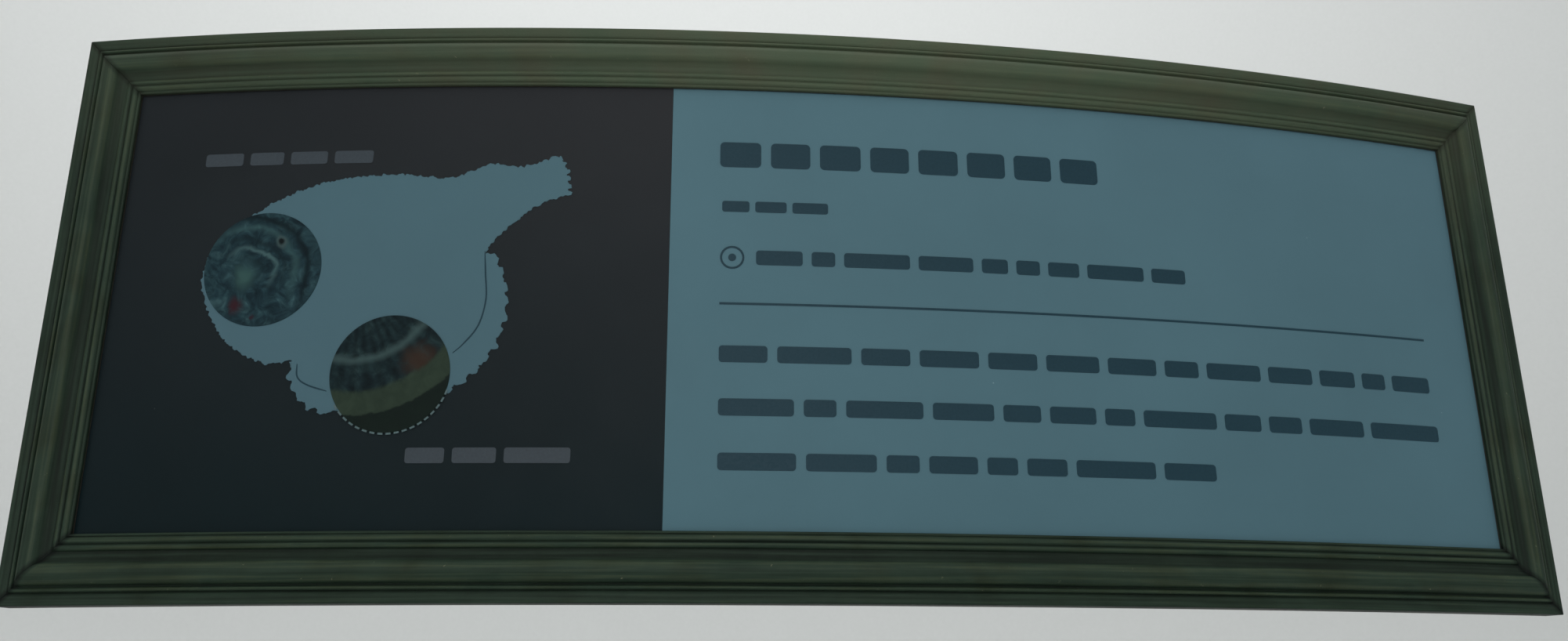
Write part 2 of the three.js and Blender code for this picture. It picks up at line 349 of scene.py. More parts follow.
# Where a point lies along its rail, whose ends are trimmed to the mitre, and how far it is from
# the nearer mitre.
def mitredRun(tree, given, inward, share):
    cut = addNode(tree, "ShaderNodeMath", inward, given["Mitre Gap"], operation="ADD")
    reach = addNode(tree, "ShaderNodeMath", cut, -2.0, given["Length"], operation="MULTIPLY_ADD")
    along = addNode(tree, "ShaderNodeMath", share, reach, operation="MULTIPLY")
    fromMiddle = addNode(tree, "ShaderNodeMath", along, operation="ABSOLUTE")
    halfReach = addNode(tree, "ShaderNodeMath", reach, 0.5, operation="MULTIPLY")
    toMitre = addNode(tree, "ShaderNodeMath", halfReach, fromMiddle, operation="SUBTRACT")
    return along, toMitre


# A rail from its section, given its quarter turns round the label. Each point keeps its place on
# the moulding for the paint: along, in from the outer edge, and from the mitre.
def makeRailTree():
    tree, given = newTree("mouldingRail", {
        "Length": labelForm["width"],
        "Across": labelForm["height"],
        "Quarter Turns": 0,
        "Shift Per Rail": railForm["shiftPerRail"],
        "Mitre Gap": railForm["mitreGap"],
        "Step Length": railForm["stepLength"],
        "Material": "Material",
    })
    swept = sweptSection(tree, given)
    place = addNode(tree, "GeometryNodeInputPosition")
    inward, out, share = addNode(tree, "ShaderNodeSeparateXYZ", place).outputs
    along, toMitre = mitredRun(tree, given, inward, share)
    ownStretch = addNode(tree, "ShaderNodeMath", given["Quarter Turns"], given["Shift Per Rail"],
                         along, operation="MULTIPLY_ADD")
    own = addNode(tree, "ShaderNodeCombineXYZ", ownStretch, inward, toMitre)
    ownMetres = addNode(tree, "ShaderNodeVectorMath", own, {"Scale": mm}, operation="SCALE")
    marked = addNode(tree, "GeometryNodeStoreNamedAttribute", swept, None, "moulding", ownMetres,
                     data_type="FLOAT_VECTOR", domain="POINT")

    halfAcross = addNode(tree, "ShaderNodeMath", given["Across"], 0.5, operation="MULTIPLY")
    up = addNode(tree, "ShaderNodeMath", inward, halfAcross, operation="SUBTRACT")
    flatPlace = addNode(tree, "ShaderNodeCombineXYZ", along, up, out)
    flat = addNode(tree, "GeometryNodeSetPosition", marked, None, flatPlace)
    angle = addNode(tree, "ShaderNodeMath", given["Quarter Turns"], math.pi / 2,
                    operation="MULTIPLY")
    turn = addNode(tree, "ShaderNodeCombineXYZ", None, None, angle)
    turned = addNode(tree, "GeometryNodeTransform", flat, None, turn)
    return endTree(tree, given, turned)


# Moulded polystyrene in an antique olive paint: a dark wash lies in the grooves and the high lines
# are wiped back, so that the bands of the moulding show even in flat light. Brush streaks run
# along each rail, the paint stops at the back, and the wash darkens the mitres.
paintForm = {
    "streakLength": 26.0,
    "streakWidth": 0.55,
    "patchSize": 14.0,
    "grainSize": 0.4,
    "grooveTone": 0.28,  # how light the paint is in a groove, from 0 to 1 on the tones below
    "highTone": 0.7,
    "streakTone": 0.18,  # how much a streak adds or takes
    "patchTone": 0.08,
    "mitreTone": 0.45,  # how much the wash takes at a mitre
    "mitreWash": 1.4,  # how far the wash creeps from a mitre
    "tones": [
        (0.0, "#0c130f"), (0.3, "#17221a"), (0.6, "#26352a"), (0.85, "#3b4635"), (1.0, "#4f5944"),
    ],
    "warmTint": "#484c2e",
    "warmShare": 0.6,
    "paintedLightShare": 0.6,  # painted light: how far the paint is paled to a grey, most in the middle of the top rail
    "paintedLightMiddle": (10.0, 70.0),
    "paintedLightReach": (190.0, 75.0),
    "paintedLightCore": 0.15,  # of that reach, within which the painted light is full
    "paintedLightTones": ("#566d54", "#6b6753"),
    "chipSize": 1.6,
    "chipPull": 0.12,  # how much more easily a high line chips than a level face
    "chipShare": 0.75,
    "ground": "#6f6e5b",  # pale, under the paint
    "plastic": ("#2e2b27", "#3c3934"),  # bare, behind the paint
    "roughness": (0.68, 0.46),  # in the wash and on the wiped lines
    "streakRelief": 0.6,  # of the grain's
    "relief": 0.035,
    "specular": 0.12,
}


# How light the paint is: high lines are wiped back, grooves and mitres hold the wash.
def washedTone(tree, form, moulding, hollow, streaky, patches):
    bands = addNode(tree, "ShaderNodeMapRange", hollow, 1.0, -1.0, form["grooveTone"],
                    form["highTone"])
    patchy = addNode(tree, "ShaderNodeMapRange", patches, 0.3, 0.7, -form["patchTone"],
                     form["patchTone"])
    streaked = addNode(tree, "ShaderNodeMath", bands, streaky, operation="ADD")
    patched = addNode(tree, "ShaderNodeMath", streaked, patchy, operation="ADD")
    toMitre = addNode(tree, "ShaderNodeSeparateXYZ", moulding).outputs[2]
    creep = addNode(tree, "ShaderNodeMapRange", toMitre, 0.0, form["mitreWash"] * mm,
                    -form["mitreTone"], 0.0, interpolation_type="SMOOTHSTEP")
    return addNode(tree, "ShaderNodeMath", patched, creep, operation="ADD")


# How much painted light pales the paint to a grey, in an ellipse about the middle of the top rail,
# where the light falls.
def paintedLightShare(tree, form):
    flat = addNode(tree, "ShaderNodeAttribute", attribute_name="flat").outputs["Vector"]
    along, up = form["paintedLightMiddle"]
    wide, high = form["paintedLightReach"]
    fromMiddle = addNode(tree, "ShaderNodeMapping", flat, {
        "Location": (-along / wide, -up / high, 0), "Scale": (1 / (wide * mm), 1 / (high * mm), 0),
    })
    share = addNode(tree, "ShaderNodeVectorMath", fromMiddle, operation="LENGTH")
    return addNode(tree, "ShaderNodeMapRange", share, 1.0, form["paintedLightCore"], 0.0,
                   form["paintedLightShare"])


# Small chips on the high lines, which show the pale ground.
def chippedShare(tree, form, moulding, hollow):
    chips = addNode(tree, "ShaderNodeTexNoise", moulding,
                    {"Scale": 1 / (form["chipSize"] * mm), "Detail": 6.0, "Roughness": 0.7})
    high = addNode(tree, "ShaderNodeMath", hollow, -form["chipPull"], chips,
                   operation="MULTIPLY_ADD")
    return addNode(tree, "ShaderNodeMapRange", high, 0.79, 0.81, 0.0, form["chipShare"])


def antiqueOlivePaint(form):
    material, tree = newMaterial("antiqueOlivePaint")
    moulding = addNode(tree, "ShaderNodeAttribute", attribute_name="moulding").outputs["Vector"]
    hollow = addNode(tree, "ShaderNodeAttribute", attribute_name="hollow").outputs["Fac"]
    painted = addNode(tree, "ShaderNodeAttribute", attribute_name="painted").outputs["Fac"]
    stretch = (1 / (form["streakLength"] * mm), 1 / (form["streakWidth"] * mm), 0)
    brushed = addNode(tree, "ShaderNodeMapping", moulding, {"Scale": stretch})
    streaks = addNode(tree, "ShaderNodeTexNoise", brushed, {"Scale": 1.0, "Detail": 5.0})
    streaky = addNode(tree, "ShaderNodeMapRange", streaks, 0.25, 0.75, -form["streakTone"],
                      form["streakTone"])
    patches = addNode(tree, "ShaderNodeTexNoise", moulding,
                      {"Scale": 1 / (form["patchSize"] * mm), "Detail": 3.0})
    grain = addNode(tree, "ShaderNodeTexNoise", moulding,
                    {"Scale": 1 / (form["grainSize"] * mm), "Detail": 2.0})

    tone = washedTone(tree, form, moulding, hollow, streaky, patches)
    paint = addNode(tree, "ShaderNodeValToRGB", tone, stops=form["tones"])
    warm = addNode(tree, "ShaderNodeMapRange", patches, 0.45, 0.75, 0.0, form["warmShare"])
    warmed = addNode(tree, "ShaderNodeMix", warm, paint, form["warmTint"], data_type="RGBA",
                     blend_type="SOFT_LIGHT")
    # Painted light: a paler grey laid over the paint about the middle of the top rail, where the
    # light falls.
    paintedLightTone = addNode(tree, "ShaderNodeMix", patches, *form["paintedLightTones"], data_type="RGBA")
    blended = addNode(tree, "ShaderNodeMix", paintedLightShare(tree, form), warmed, paintedLightTone,
                    data_type="RGBA")
    worn = addNode(tree, "ShaderNodeMix", chippedShare(tree, form, moulding, hollow), blended,
                   form["ground"], data_type="RGBA")

    bare = addNode(tree, "ShaderNodeMix", grain, *form["plastic"], data_type="RGBA")
    paintEdge = addNode(tree, "ShaderNodeMath", painted, streaky, operation="ADD")
    covered = addNode(tree, "ShaderNodeMapRange", paintEdge, 0.45, 0.55)
    colour = addNode(tree, "ShaderNodeMix", covered, bare, worn, data_type="RGBA")
    roughness = addNode(tree, "ShaderNodeMapRange", tone, 0.0, 1.0, *form["roughness"])
    height = addNode(tree, "ShaderNodeMath", streaks, form["streakRelief"], grain,
                     operation="MULTIPLY_ADD")
    endMaterial(tree, colour, roughness, height, form["relief"],
                {"Specular IOR Level": form["specular"]})
    return material


def makeRails():
    tree = makeRailTree()
    paint = antiqueOlivePaint(paintForm)
    section = mouldingSection(railForm)
    sizes = (labelForm["width"], labelForm["height"])
    for turns, side in enumerate(("Bottom", "Right", "Top", "Left")):
        rail = makePiece(f"rail{side}", tree, paint, flat=section, inputs={
            "Length": sizes[turns % 2],
            "Across": sizes[(turns + 1) % 2],
            "Quarter Turns": turns,
        })
        finishPiece(rail, "frame", f"rail_{side.lower()}")


makeRails()
print("frame made")


# Flat sheets and boards, cut across in steps so that they follow the curve.
def makeSheetTree():
    tree, given = newTree("bentSheet", {
        "Centre": (0.0, 0.0, 0.0),
        "Size": (100.0, 100.0, 1.0),
        "Step Length": labelForm["stepLength"],
        "Material": "Material",
    })
    length = addNode(tree, "ShaderNodeSeparateXYZ", given["Size"])
    steps = addNode(tree, "ShaderNodeMath", length, given["Step Length"], operation="DIVIDE")
    count = addNode(tree, "ShaderNodeMath", steps, 2.0, operation="ADD")
    block = addNode(tree, "GeometryNodeMeshCube", given["Size"], count)
    placed = addNode(tree, "GeometryNodeTransform", block, given["Centre"])
    return endTree(tree, given, placed)


sheetTree = makeSheetTree()


# A sheet's inputs from where its six sides lie.
def sheetInputs(left, right, bottom, top, back, front):
    return {
        "Centre": ((left + right) / 2, (bottom + top) / 2, (back + front) / 2),
        "Size": (right - left, top - bottom, front - back),
    }


# The panel in the rebate: two printed face sheets on a hardboard.
panelForm = {
    "edge": 5.8,  # from the frame's outer edge
    "sheetThickness": 0.6,
    "boardFront": -0.62,
    "boardBack": -3.1,
    "splitAlong": -30.8,  # where the dark field meets the pale one
    "splitGap": 0.04,
}

# Offset print under a matt laminate: even ink, a broad soft sheen, a very fine orange peel and a
# little dust. The dark field turns from plum at the top to blue-black below, and each field is
# lighter where more light fell: both are painted light, blended from its corner colours.
darkPrintForm = {
    "name": "darkLaminatedPrint",
    "topLeft": "#222629", "topRight": "#3f3c3e",
    "bottomLeft": "#06171a", "bottomRight": "#142327",
    "unevenness": 0.10,
    "dust": "#474e4d", "dustShare": 0.5,
}
palePrintForm = {
    "name": "paleLaminatedPrint",
    "topLeft": "#577781", "topRight": "#506e79",
    "bottomLeft": "#4e6d77", "bottomRight": "#4a6771",
    "unevenness": 0.05,
    "dust": "#8fa5ab", "dustShare": 0.35,
}
laminateForm = {
    "cloudSize": 45.0,
    "peelSize": 0.5,  # the real one is finer, and this is the least that shows
    "smearSize": 22.0,
    "dustSpacing": 7.0,
    "dustRadius": 0.16,
    "dustStrength": 0.6,
    "roughness": (0.5, 0.62),  # of a smear and of a clean place
    "relief": 0.006,
    "specular": 0.06,
}


# Specks of dust, each somewhere in a cell of its own, where a share of the cells have one.
def dustCover(tree, form, flat, keptShare):
    cells = addNode(tree, "ShaderNodeTexVoronoi", flat, {"Scale": 1 / (form["dustSpacing"] * mm)})
    picked = addNode(tree, "ShaderNodeSeparateColor", cells.outputs["Color"])
    kept = addNode(tree, "ShaderNodeMath", picked, keptShare, operation="LESS_THAN")
    rim = form["dustRadius"] / form["dustSpacing"]
    speck = addNode(tree, "ShaderNodeMapRange", cells.outputs["Distance"], rim, rim / 2, 0.0,
                    form["dustStrength"])
    return addNode(tree, "ShaderNodeMath", speck, kept, operation="MULTIPLY")


# A colour that turns evenly from the label's corners to each other. The corner colours hold each
# print's ink with painted light: a field is lighter where more light fell, and the dark field's
# lighter plum top is a painted sheen.
def cornerBlendWithPaintedLight(tree, printForm, flat):
    along, up = addNode(tree, "ShaderNodeSeparateXYZ", flat).outputs[:2]
    toRight = addNode(tree, "ShaderNodeMapRange", along, -halfWidth * mm, halfWidth * mm)
    toTop = addNode(tree, "ShaderNodeMapRange", up, -halfHeight * mm, halfHeight * mm)
    top = addNode(tree, "ShaderNodeMix", toRight, printForm["topLeft"], printForm["topRight"],
                  data_type="RGBA")
    bottom = addNode(tree, "ShaderNodeMix", toRight, printForm["bottomLeft"],
                     printForm["bottomRight"], data_type="RGBA")
    return addNode(tree, "ShaderNodeMix", toTop, bottom, top, data_type="RGBA")


def laminatedPrint(printForm, form):
    material, tree = newMaterial(printForm["name"])
    flat = addNode(tree, "ShaderNodeAttribute", attribute_name="flat").outputs["Vector"]
    # The ink's colour, with painted light blended in from the corner colours.
    ink = cornerBlendWithPaintedLight(tree, printForm, flat)
    cloud = addNode(tree, "ShaderNodeTexNoise", flat,
                    {"Scale": 1 / (form["cloudSize"] * mm), "Detail": 4.0})
    spread = printForm["unevenness"]
    shade = addNode(tree, "ShaderNodeMapRange", cloud, 0.3, 0.7, 1 - spread, 1 + spread)
    uneven = addNode(tree, "ShaderNodeVectorMath", ink, {"Scale": shade}, operation="SCALE")
    dusty = dustCover(tree, form, flat, printForm["dustShare"])
    colour = addNode(tree, "ShaderNodeMix", dusty, uneven, printForm["dust"], data_type="RGBA")

    smears = addNode(tree, "ShaderNodeTexNoise", flat,
                     {"Scale": 1 / (form["smearSize"] * mm), "Detail": 5.0, "Distortion": 0.6})
    roughness = addNode(tree, "ShaderNodeMapRange", smears, 0.3, 0.7, *form["roughness"])
    peel = addNode(tree, "ShaderNodeTexNoise", flat,
                   {"Scale": 1 / (form["peelSize"] * mm), "Detail": 2.0})
    endMaterial(tree, colour, roughness, peel, form["relief"],
                {"Specular IOR Level": form["specular"]})
    return material


# Hardboard with its mesh side to the back: warm brown pressed fibre, with the print of the wire
# mesh that it was dried on.
boardForm = {
    "meshPitch": 1.5,
    "meshAngle": 45,
    "fibreSize": 1.2,
    "patchSize": 20.0,
    "patchTone": 0.06,
    "browns": [(0.25, "#4b3322"), (0.5, "#64442d"), (0.75, "#7a573a")],
    "pitShade": 0.72,
    "fibreRelief": 0.35,  # of the mesh's
    "roughness": (0.75, 0.92),
    "relief": 0.12,
}


# The print of the wires, from 0 in a pit to 1 on a bump.
def meshPrint(tree, form, flat):
    turned = addNode(tree, "ShaderNodeMapping", flat, {
        "Scale": (2 * math.pi / (form["meshPitch"] * mm),) * 3,
        "Rotation": (0, 0, math.radians(form["meshAngle"])),
    })
    across, along = addNode(tree, "ShaderNodeSeparateXYZ", turned).outputs[:2]
    warp = addNode(tree, "ShaderNodeMath", across, operation="SINE")
    weft = addNode(tree, "ShaderNodeMath", along, operation="SINE")
    wires = addNode(tree, "ShaderNodeMath", warp, weft, operation="MULTIPLY")
    return addNode(tree, "ShaderNodeMapRange", wires, -1.0, 1.0)


def pressedHardboard(form):
    material, tree = newMaterial("pressedHardboard")
    flat = addNode(tree, "ShaderNodeAttribute", attribute_name="flat").outputs["Vector"]
    fibre = addNode(tree, "ShaderNodeTexNoise", flat,
                    {"Scale": 1 / (form["fibreSize"] * mm), "Detail": 6.0, "Distortion": 1.5})
    patches = addNode(tree, "ShaderNodeTexNoise", flat,
                      {"Scale": 1 / (form["patchSize"] * mm), "Detail": 3.0})
    patchy = addNode(tree, "ShaderNodeMapRange", patches, 0.3, 0.7, -form["patchTone"],
                     form["patchTone"])
    tone = addNode(tree, "ShaderNodeMath", fibre, patchy, operation="ADD")
    brown = addNode(tree, "ShaderNodeValToRGB", tone, stops=form["browns"])
    meshHeight = meshPrint(tree, form, flat)
    # Painted shade: the brown is darker in the pits of the mesh print.
    paintedPitShade = addNode(tree, "ShaderNodeMapRange", meshHeight, 0.0, 0.6, form["pitShade"], 1.0)
    colour = addNode(tree, "ShaderNodeVectorMath", brown, {"Scale": paintedPitShade}, operation="SCALE")
    height = addNode(tree, "ShaderNodeMath", fibre, form["fibreRelief"], meshHeight,
                     operation="MULTIPLY_ADD")
    roughness = addNode(tree, "ShaderNodeMapRange", fibre, 0.2, 0.8, *form["roughness"])
    endMaterial(tree, colour, roughness, height, form["relief"])
    return material


def makePanel(form):
    right = halfWidth - form["edge"]
    top = halfHeight - form["edge"]
    darkEnd = form["splitAlong"] - form["splitGap"] / 2
    paleStart = form["splitAlong"] + form["splitGap"] / 2
    back = -form["sheetThickness"]
    dark = makePiece("darkFieldSheet", sheetTree, laminatedPrint(darkPrintForm, laminateForm),
                     sheetInputs(-right, darkEnd, -top, top, back, 0))
    finishPiece(dark, "dark_print", "face_sheet_dark")
    pale = makePiece("paleFieldSheet", sheetTree, laminatedPrint(palePrintForm, laminateForm),
                     sheetInputs(paleStart, right, -top, top, back, 0))
    finishPiece(pale, "pale_print", "face_sheet_pale")
    board = makePiece("backingBoard", sheetTree, pressedHardboard(boardForm),
                      sheetInputs(-right, right, -top, top, form["boardBack"], form["boardFront"]))
    finishPiece(board, "board", "backing_board")


makePanel(panelForm)
print("panel made")


# A fish from its outline: a stonefish seen from above and ahead, heavy head to the left, tail up to
# the right, the near pectoral fin spread below. It runs clockwise from behind the far fin.
fishForm = {
    "lift": 0.02,
    "thickness": 0.1,
    "pointSpacing": 0.3,
    "pointsPerCorner": 12,
    "pointsPerRay": 14,
    "wartSize": 1.0,
    "wartHeight": 0.85,
    "wartLevel": 0.25,  # the share of that height that lies inside the outline
    "fineWarts": 2.3,  # times smaller than the others
    "fineShare": 0.5,  # of the others' height
    "wartSeed": 3.7,
    "headAndBack": [
        (-99, -11.6),  # behind the far fin
        (-104.5, -12.2),  # throat
        (-111.8, -8.4),  # jaw
        (-116.8, -1.2),  # chin
        (-118.4, 5.4),  # upturned mouth
        (-115.6, 12),  # brow
        (-107.4, 18.6),  # nape
        (-96.4, 23.2),  # shoulder hump
        (-84, 24.6),
        (-72.6, 23.8),
        (-65.2, 26.6),  # rear lobe of the back fin
        (-59.4, 25.8),  # tail root
    ],
    "tailFan": {
        "centre": (-60, 22), "radius": 10.4, "from": 38, "to": -8, "rays": 5, "bay": 0.8,
    },
    "tailUnderside": [
        (-55.4, 18.9),
        (-60.2, 14.8),
        (-63.8, 11),
        (-65.2, 8.6),  # armpit of the near fin
    ],
    "nearFin": {
        "centre": (-79, -1.5), "radius": 18.8, "from": 30, "to": -62, "rays": 10, "bay": 0.7,
    },
    "belly": [(-77.5, -19.6), (-85.5, -20.6)],
    "farFin": {
        "centre": (-91.5, -13.6), "radius": 8.3, "from": -100, "to": -190, "rays": 5, "bay": 0.6,
    },
}


# A smooth run through the corners.
def smoothRun(corners, pointsPerCorner):
    held = [Vector(corner) for corner in corners]
    held = [held[0], *held, held[-1]]
    points = []
    for before, start, end, after in zip(held, held[1:], held[2:], held[3:]):
        for step in range(pointsPerCorner):
            t = step / pointsPerCorner
            points.append(
                0.5 * (2 * start + (end - before) * t
                       + (2 * before - 5 * start + 4 * end - after) * t ** 2
                       + (3 * start - before - 3 * end + after) * t ** 3)
            )
    return [*points, held[-1]]


# A fan's scalloped rim, with a shallow bay between each two rays. Angles are in degrees.
def fanRim(fan, pointsPerRay):
    count = fan["rays"] * pointsPerRay
    points = []
    for i in range(count + 1):
        share = i / count
        angle = math.radians(fan["from"] + (fan["to"] - fan["from"]) * share)
        radius = fan["radius"] - fan["bay"] * math.sin(math.pi * (share * fan["rays"] % 1)) ** 2
        points.append(Vector(fan["centre"]) + radius * Vector((math.cos(angle), math.sin(angle))))
    return points


# Evenly spaced points round a closed outline.
def spacedRound(points, spacing):
    lengths = [(b - a).length for a, b in zip(points, points[1:] + points[:1])]
    count = round(sum(lengths) / spacing)
    even = []
    edge = 0
    passed = 0.0
    for i in range(count):
        target = sum(lengths) * i / count
        while passed + lengths[edge] < target:
            passed += lengths[edge]
            edge += 1
        following = points[(edge + 1) % len(points)]
        even.append(points[edge].lerp(following, (target - passed) / max(lengths[edge], tiny)))
    return even


# The outline with small pointed warts that stand out from it.
def wartyOutline(form):
    outline = []
    for body, fan in (
        ("headAndBack", "tailFan"), ("tailUnderside", "nearFin"), ("belly", "farFin"),
    ):
        outline += smoothRun(form[body], form["pointsPerCorner"])
        outline += fanRim(form[fan], form["pointsPerRay"])
    smooth = spacedRound(outline, form["pointSpacing"])
    warty = []
    for i, point in enumerate(smooth):
        run = smooth[(i + 1) % len(smooth)] - smooth[i - 1]
        outward = Vector((-run.y, run.x)).normalized()
        at = Vector((*point / form["wartSize"], form["wartSeed"]))
        fine = form["fineShare"] * abs(noise.noise(form["fineWarts"] * at))
        height = abs(noise.noise(at)) + fine - form["wartLevel"]
        warty.append(point + outward * height * form["wartHeight"])
    return warty


# A flat shape with that outline, cut across in steps so that it can follow the curve.
def flatShape(name, outline):
    work = bmesh.new()
    work.faces.new([work.verts.new((*point, 0)) for point in outline])
    left = min(point.x for point in outline)
    right = max(point.x for point in outline)
    for cut in range(1, int((right - left) / labelForm["stepLength"]) + 1):
        geometry = [*work.verts, *work.edges, *work.faces]
        bmesh.ops.bisect_plane(work, geom=geometry, plane_no=(1, 0, 0),
                               plane_co=(left + cut * labelForm["stepLength"], 0, 0))
    for face in work.faces:
        if face.normal.z < 0:
            face.normal_flip()
    mesh = bpy.data.meshes.new(name)
    work.to_mesh(mesh)
    work.free()
    return mesh


# A flat shape as a thin film on the face.
def makeFilmTree():
    tree, given = newTree("printedFilm", {"Lift": 0.02, "Thickness": 0.1, "Material": "Material"})
    lift = addNode(tree, "ShaderNodeCombineXYZ", None, None, given["Lift"])
    lifted = addNode(tree, "GeometryNodeTransform", given["Geometry"], lift)
    film = addNode(tree, "GeometryNodeGroup", {"Geometry": lifted, "Thickness": given["Thickness"]},
                   node_tree=thickenTree)
    return endTree(tree, given, film)


filmTree = makeFilmTree()

# The fish film's corner colours hold its pale ink with painted light, lighter where more light
# fell.
fishPrintForm = {
    "name": "paleFishPrint",
    "topLeft": "#48646e", "topRight": "#5b7b84",
    "bottomLeft": "#465f69", "bottomRight": "#50707a",
    "unevenness": 0.04,
    "dust": "#8fa5ab", "dustShare": 0.2,
}


def makeFish(form):
    shape = flatShape("fishShape", wartyOutline(form))
    fish = makePiece("fishSilhouette", filmTree, laminatedPrint(fishPrintForm, laminateForm),
                     {"Lift": form["lift"], "Thickness": form["thickness"]}, shape)
    finishPiece(fish, "fish_film", "fish_film")


makeFish(fishForm)
print("fish silhouette made")


# Two round close-ups laid over the fish, each with a mottled picture of its own.
insetForm = {
    "lift": 0.14,
    "thickness": 0.1,
    "segments": 128,
    "ringWander": 0.7,  # how far a ring in a picture strays from its circle
    "roughness": (0.46, 0.58),
}
headInset = {"centre": (-107, 6), "radius": 11.2}
finInset = {"centre": (-81, -14.5), "radius": 11}


# The picture's own coordinates, in millimetres from the middle of its disc.
def insetPlace(tree, inset):
    flat = addNode(tree, "ShaderNodeAttribute", attribute_name="flat").outputs["Vector"]
    along, up = inset["centre"]
    return addNode(tree, "ShaderNodeMapping", flat,
                   {"Location": (-along, -up, 0), "Scale": (1 / mm, 1 / mm, 0)})


# How much a soft round spot covers, from 1 inside to 0 outside, with an edge broken by a pattern.
def softSpot(tree, place, centre, inner, outer, ragged):
    distance = addNode(tree, "ShaderNodeVectorMath", place, (*centre, 0), operation="DISTANCE")
    shift = addNode(tree, "ShaderNodeMapRange", ragged, 0.0, 1.0, -0.5, 0.5)
    broken = addNode(tree, "ShaderNodeMath", shift, outer - inner, distance,
                     operation="MULTIPLY_ADD")
    return addNode(tree, "ShaderNodeMapRange", broken, outer, inner,
                   interpolation_type="SMOOTHSTEP")


# How much a soft ring covers: 1 on a circle and 0 past half its width on either side.
def softRing(tree, place, centre, radius, width, ragged):
    distance = addNode(tree, "ShaderNodeVectorMath", place, (*centre, 0), operation="DISTANCE")
    wander = insetForm["ringWander"]
    shift = addNode(tree, "ShaderNodeMapRange", ragged, 0.0, 1.0, -radius - wander,
                    -radius + wander)
    offset = addNode(tree, "ShaderNodeMath", distance, shift, operation="ADD")
    apart = addNode(tree, "ShaderNodeMath", offset, operation="ABSOLUTE")
    return addNode(tree, "ShaderNodeMapRange", apart, width / 2, 0.0,
                   interpolation_type="SMOOTHSTEP")


# A printed close-up of stony skin: dark teal mottle with faint pale crescents above an upturned
# mouth, a small eye, a dim right rim and a red-brown patch. It is soft, like any small picture.
headPictureForm = {
    "mottleSize": 2.6,
    "skin": [(0.28, "#101e24"), (0.46, "#1a2e35"), (0.58, "#243c42"), (0.74, "#375155")],
    "wartSize": 1.3,
    "wartShades": (1.18, 0.8),  # on a wart and between warts
    "bendSize": 7.0,
    "bendReach": 2.2,  # how far the shapes wander from true circles
    "mouth": (-3.0, -1.4),
    "lipsTowards": (0.6, 0.8),  # where the crescents are strongest
    "lipsFrom": -2.5,  # how far that way they start, and where they are full
    "lipsFull": 3.0,
    "lips": [  # radius, width, colour and strength of each crescent
        (3.6, 2.0, "#132226", 0.75),
        (5.4, 1.5, "#456163", 0.85),
        (7.2, 2.0, "#111f24", 0.7),
        (9.4, 2.6, "#345052", 0.6),
        (12.0, 2.6, "#0d191d", 0.85),
    ],
    "spots": [  # place, inner and outer radius, and colour
        ((-3.2, -1.2), 0.2, 3.6, "#334f4d"),
        ((3.2, 5.4), 0.6, 1.25, "#38494a"),
        ((3.2, 5.4), 0.3, 0.75, "#0d1416"),
        ((-4.4, -6.6), 0.3, 2.0, "#321c22"),
        ((-1.6, -9.2), 0.2, 1.0, "#2b1c24"),
    ],
}


# The picture's coordinates, bent a little so that nothing in it is a true circle.
def bentPlace(tree, form, inset):
    place = insetPlace(tree, inset)
    wander = addNode(tree, "ShaderNodeTexNoise", place, {"Scale": 1 / form["bendSize"]})
    centred = addNode(tree, "ShaderNodeVectorMath", wander.outputs["Color"], (0.5, 0.5, 0.5),
                      operation="SUBTRACT")
    return addNode(tree, "ShaderNodeVectorMath", centred, (2 * form["bendReach"],) * 3, place,
                   operation="MULTIPLY_ADD")


# Lays the crescents over a picture. They fade towards the lower left, where the mouth opens.
def withLips(tree, form, place, picture, mottle):
    upperRight = addNode(tree, "ShaderNodeVectorMath", place, (*form["lipsTowards"], 0),
                         operation="DOT_PRODUCT")
    crescent = addNode(tree, "ShaderNodeMapRange", upperRight, form["lipsFrom"], form["lipsFull"])
    for radius, width, colour, strength in form["lips"]:
        ring = softRing(tree, place, form["mouth"], radius, width, mottle)
        blended = addNode(tree, "ShaderNodeMath", ring, crescent, operation="MULTIPLY")
        shown = addNode(tree, "ShaderNodeMath", blended, strength, operation="MULTIPLY")
        picture = addNode(tree, "ShaderNodeMix", shown, picture, colour, data_type="RGBA")
    return picture


def endPicture(tree, picture, mottle):
    roughness = addNode(tree, "ShaderNodeMapRange", mottle, 0.3, 0.7, *insetForm["roughness"])
    endMaterial(tree, picture, roughness, mottle, laminateForm["relief"],
                {"Specular IOR Level": laminateForm["specular"]})


def headPicture(form, inset):
    material, tree = newMaterial("printedHeadPicture")
    place = bentPlace(tree, form, inset)
    mottle = addNode(tree, "ShaderNodeTexNoise", place,
                     {"Scale": 1 / form["mottleSize"], "Detail": 5.0, "Roughness": 0.6,
                      "Distortion": 0.8})
    skin = addNode(tree, "ShaderNodeValToRGB", mottle, stops=form["skin"])
    warts = addNode(tree, "ShaderNodeTexVoronoi", place, {"Scale": 1 / form["wartSize"]},
                    feature="SMOOTH_F1")
    wartShade = addNode(tree, "ShaderNodeMapRange", warts, 0.05, 0.65, *form["wartShades"])
    warty = addNode(tree, "ShaderNodeVectorMath", skin, {"Scale": wartShade}, operation="SCALE")
    picture = withLips(tree, form, place, warty, mottle)
    for spot, inner, outer, colour in form["spots"]:
        cover = softSpot(tree, place, spot, inner, outer, mottle)
        picture = addNode(tree, "ShaderNodeMix", cover, picture, colour, data_type="RGBA")
    endPicture(tree, picture, mottle)
    return material


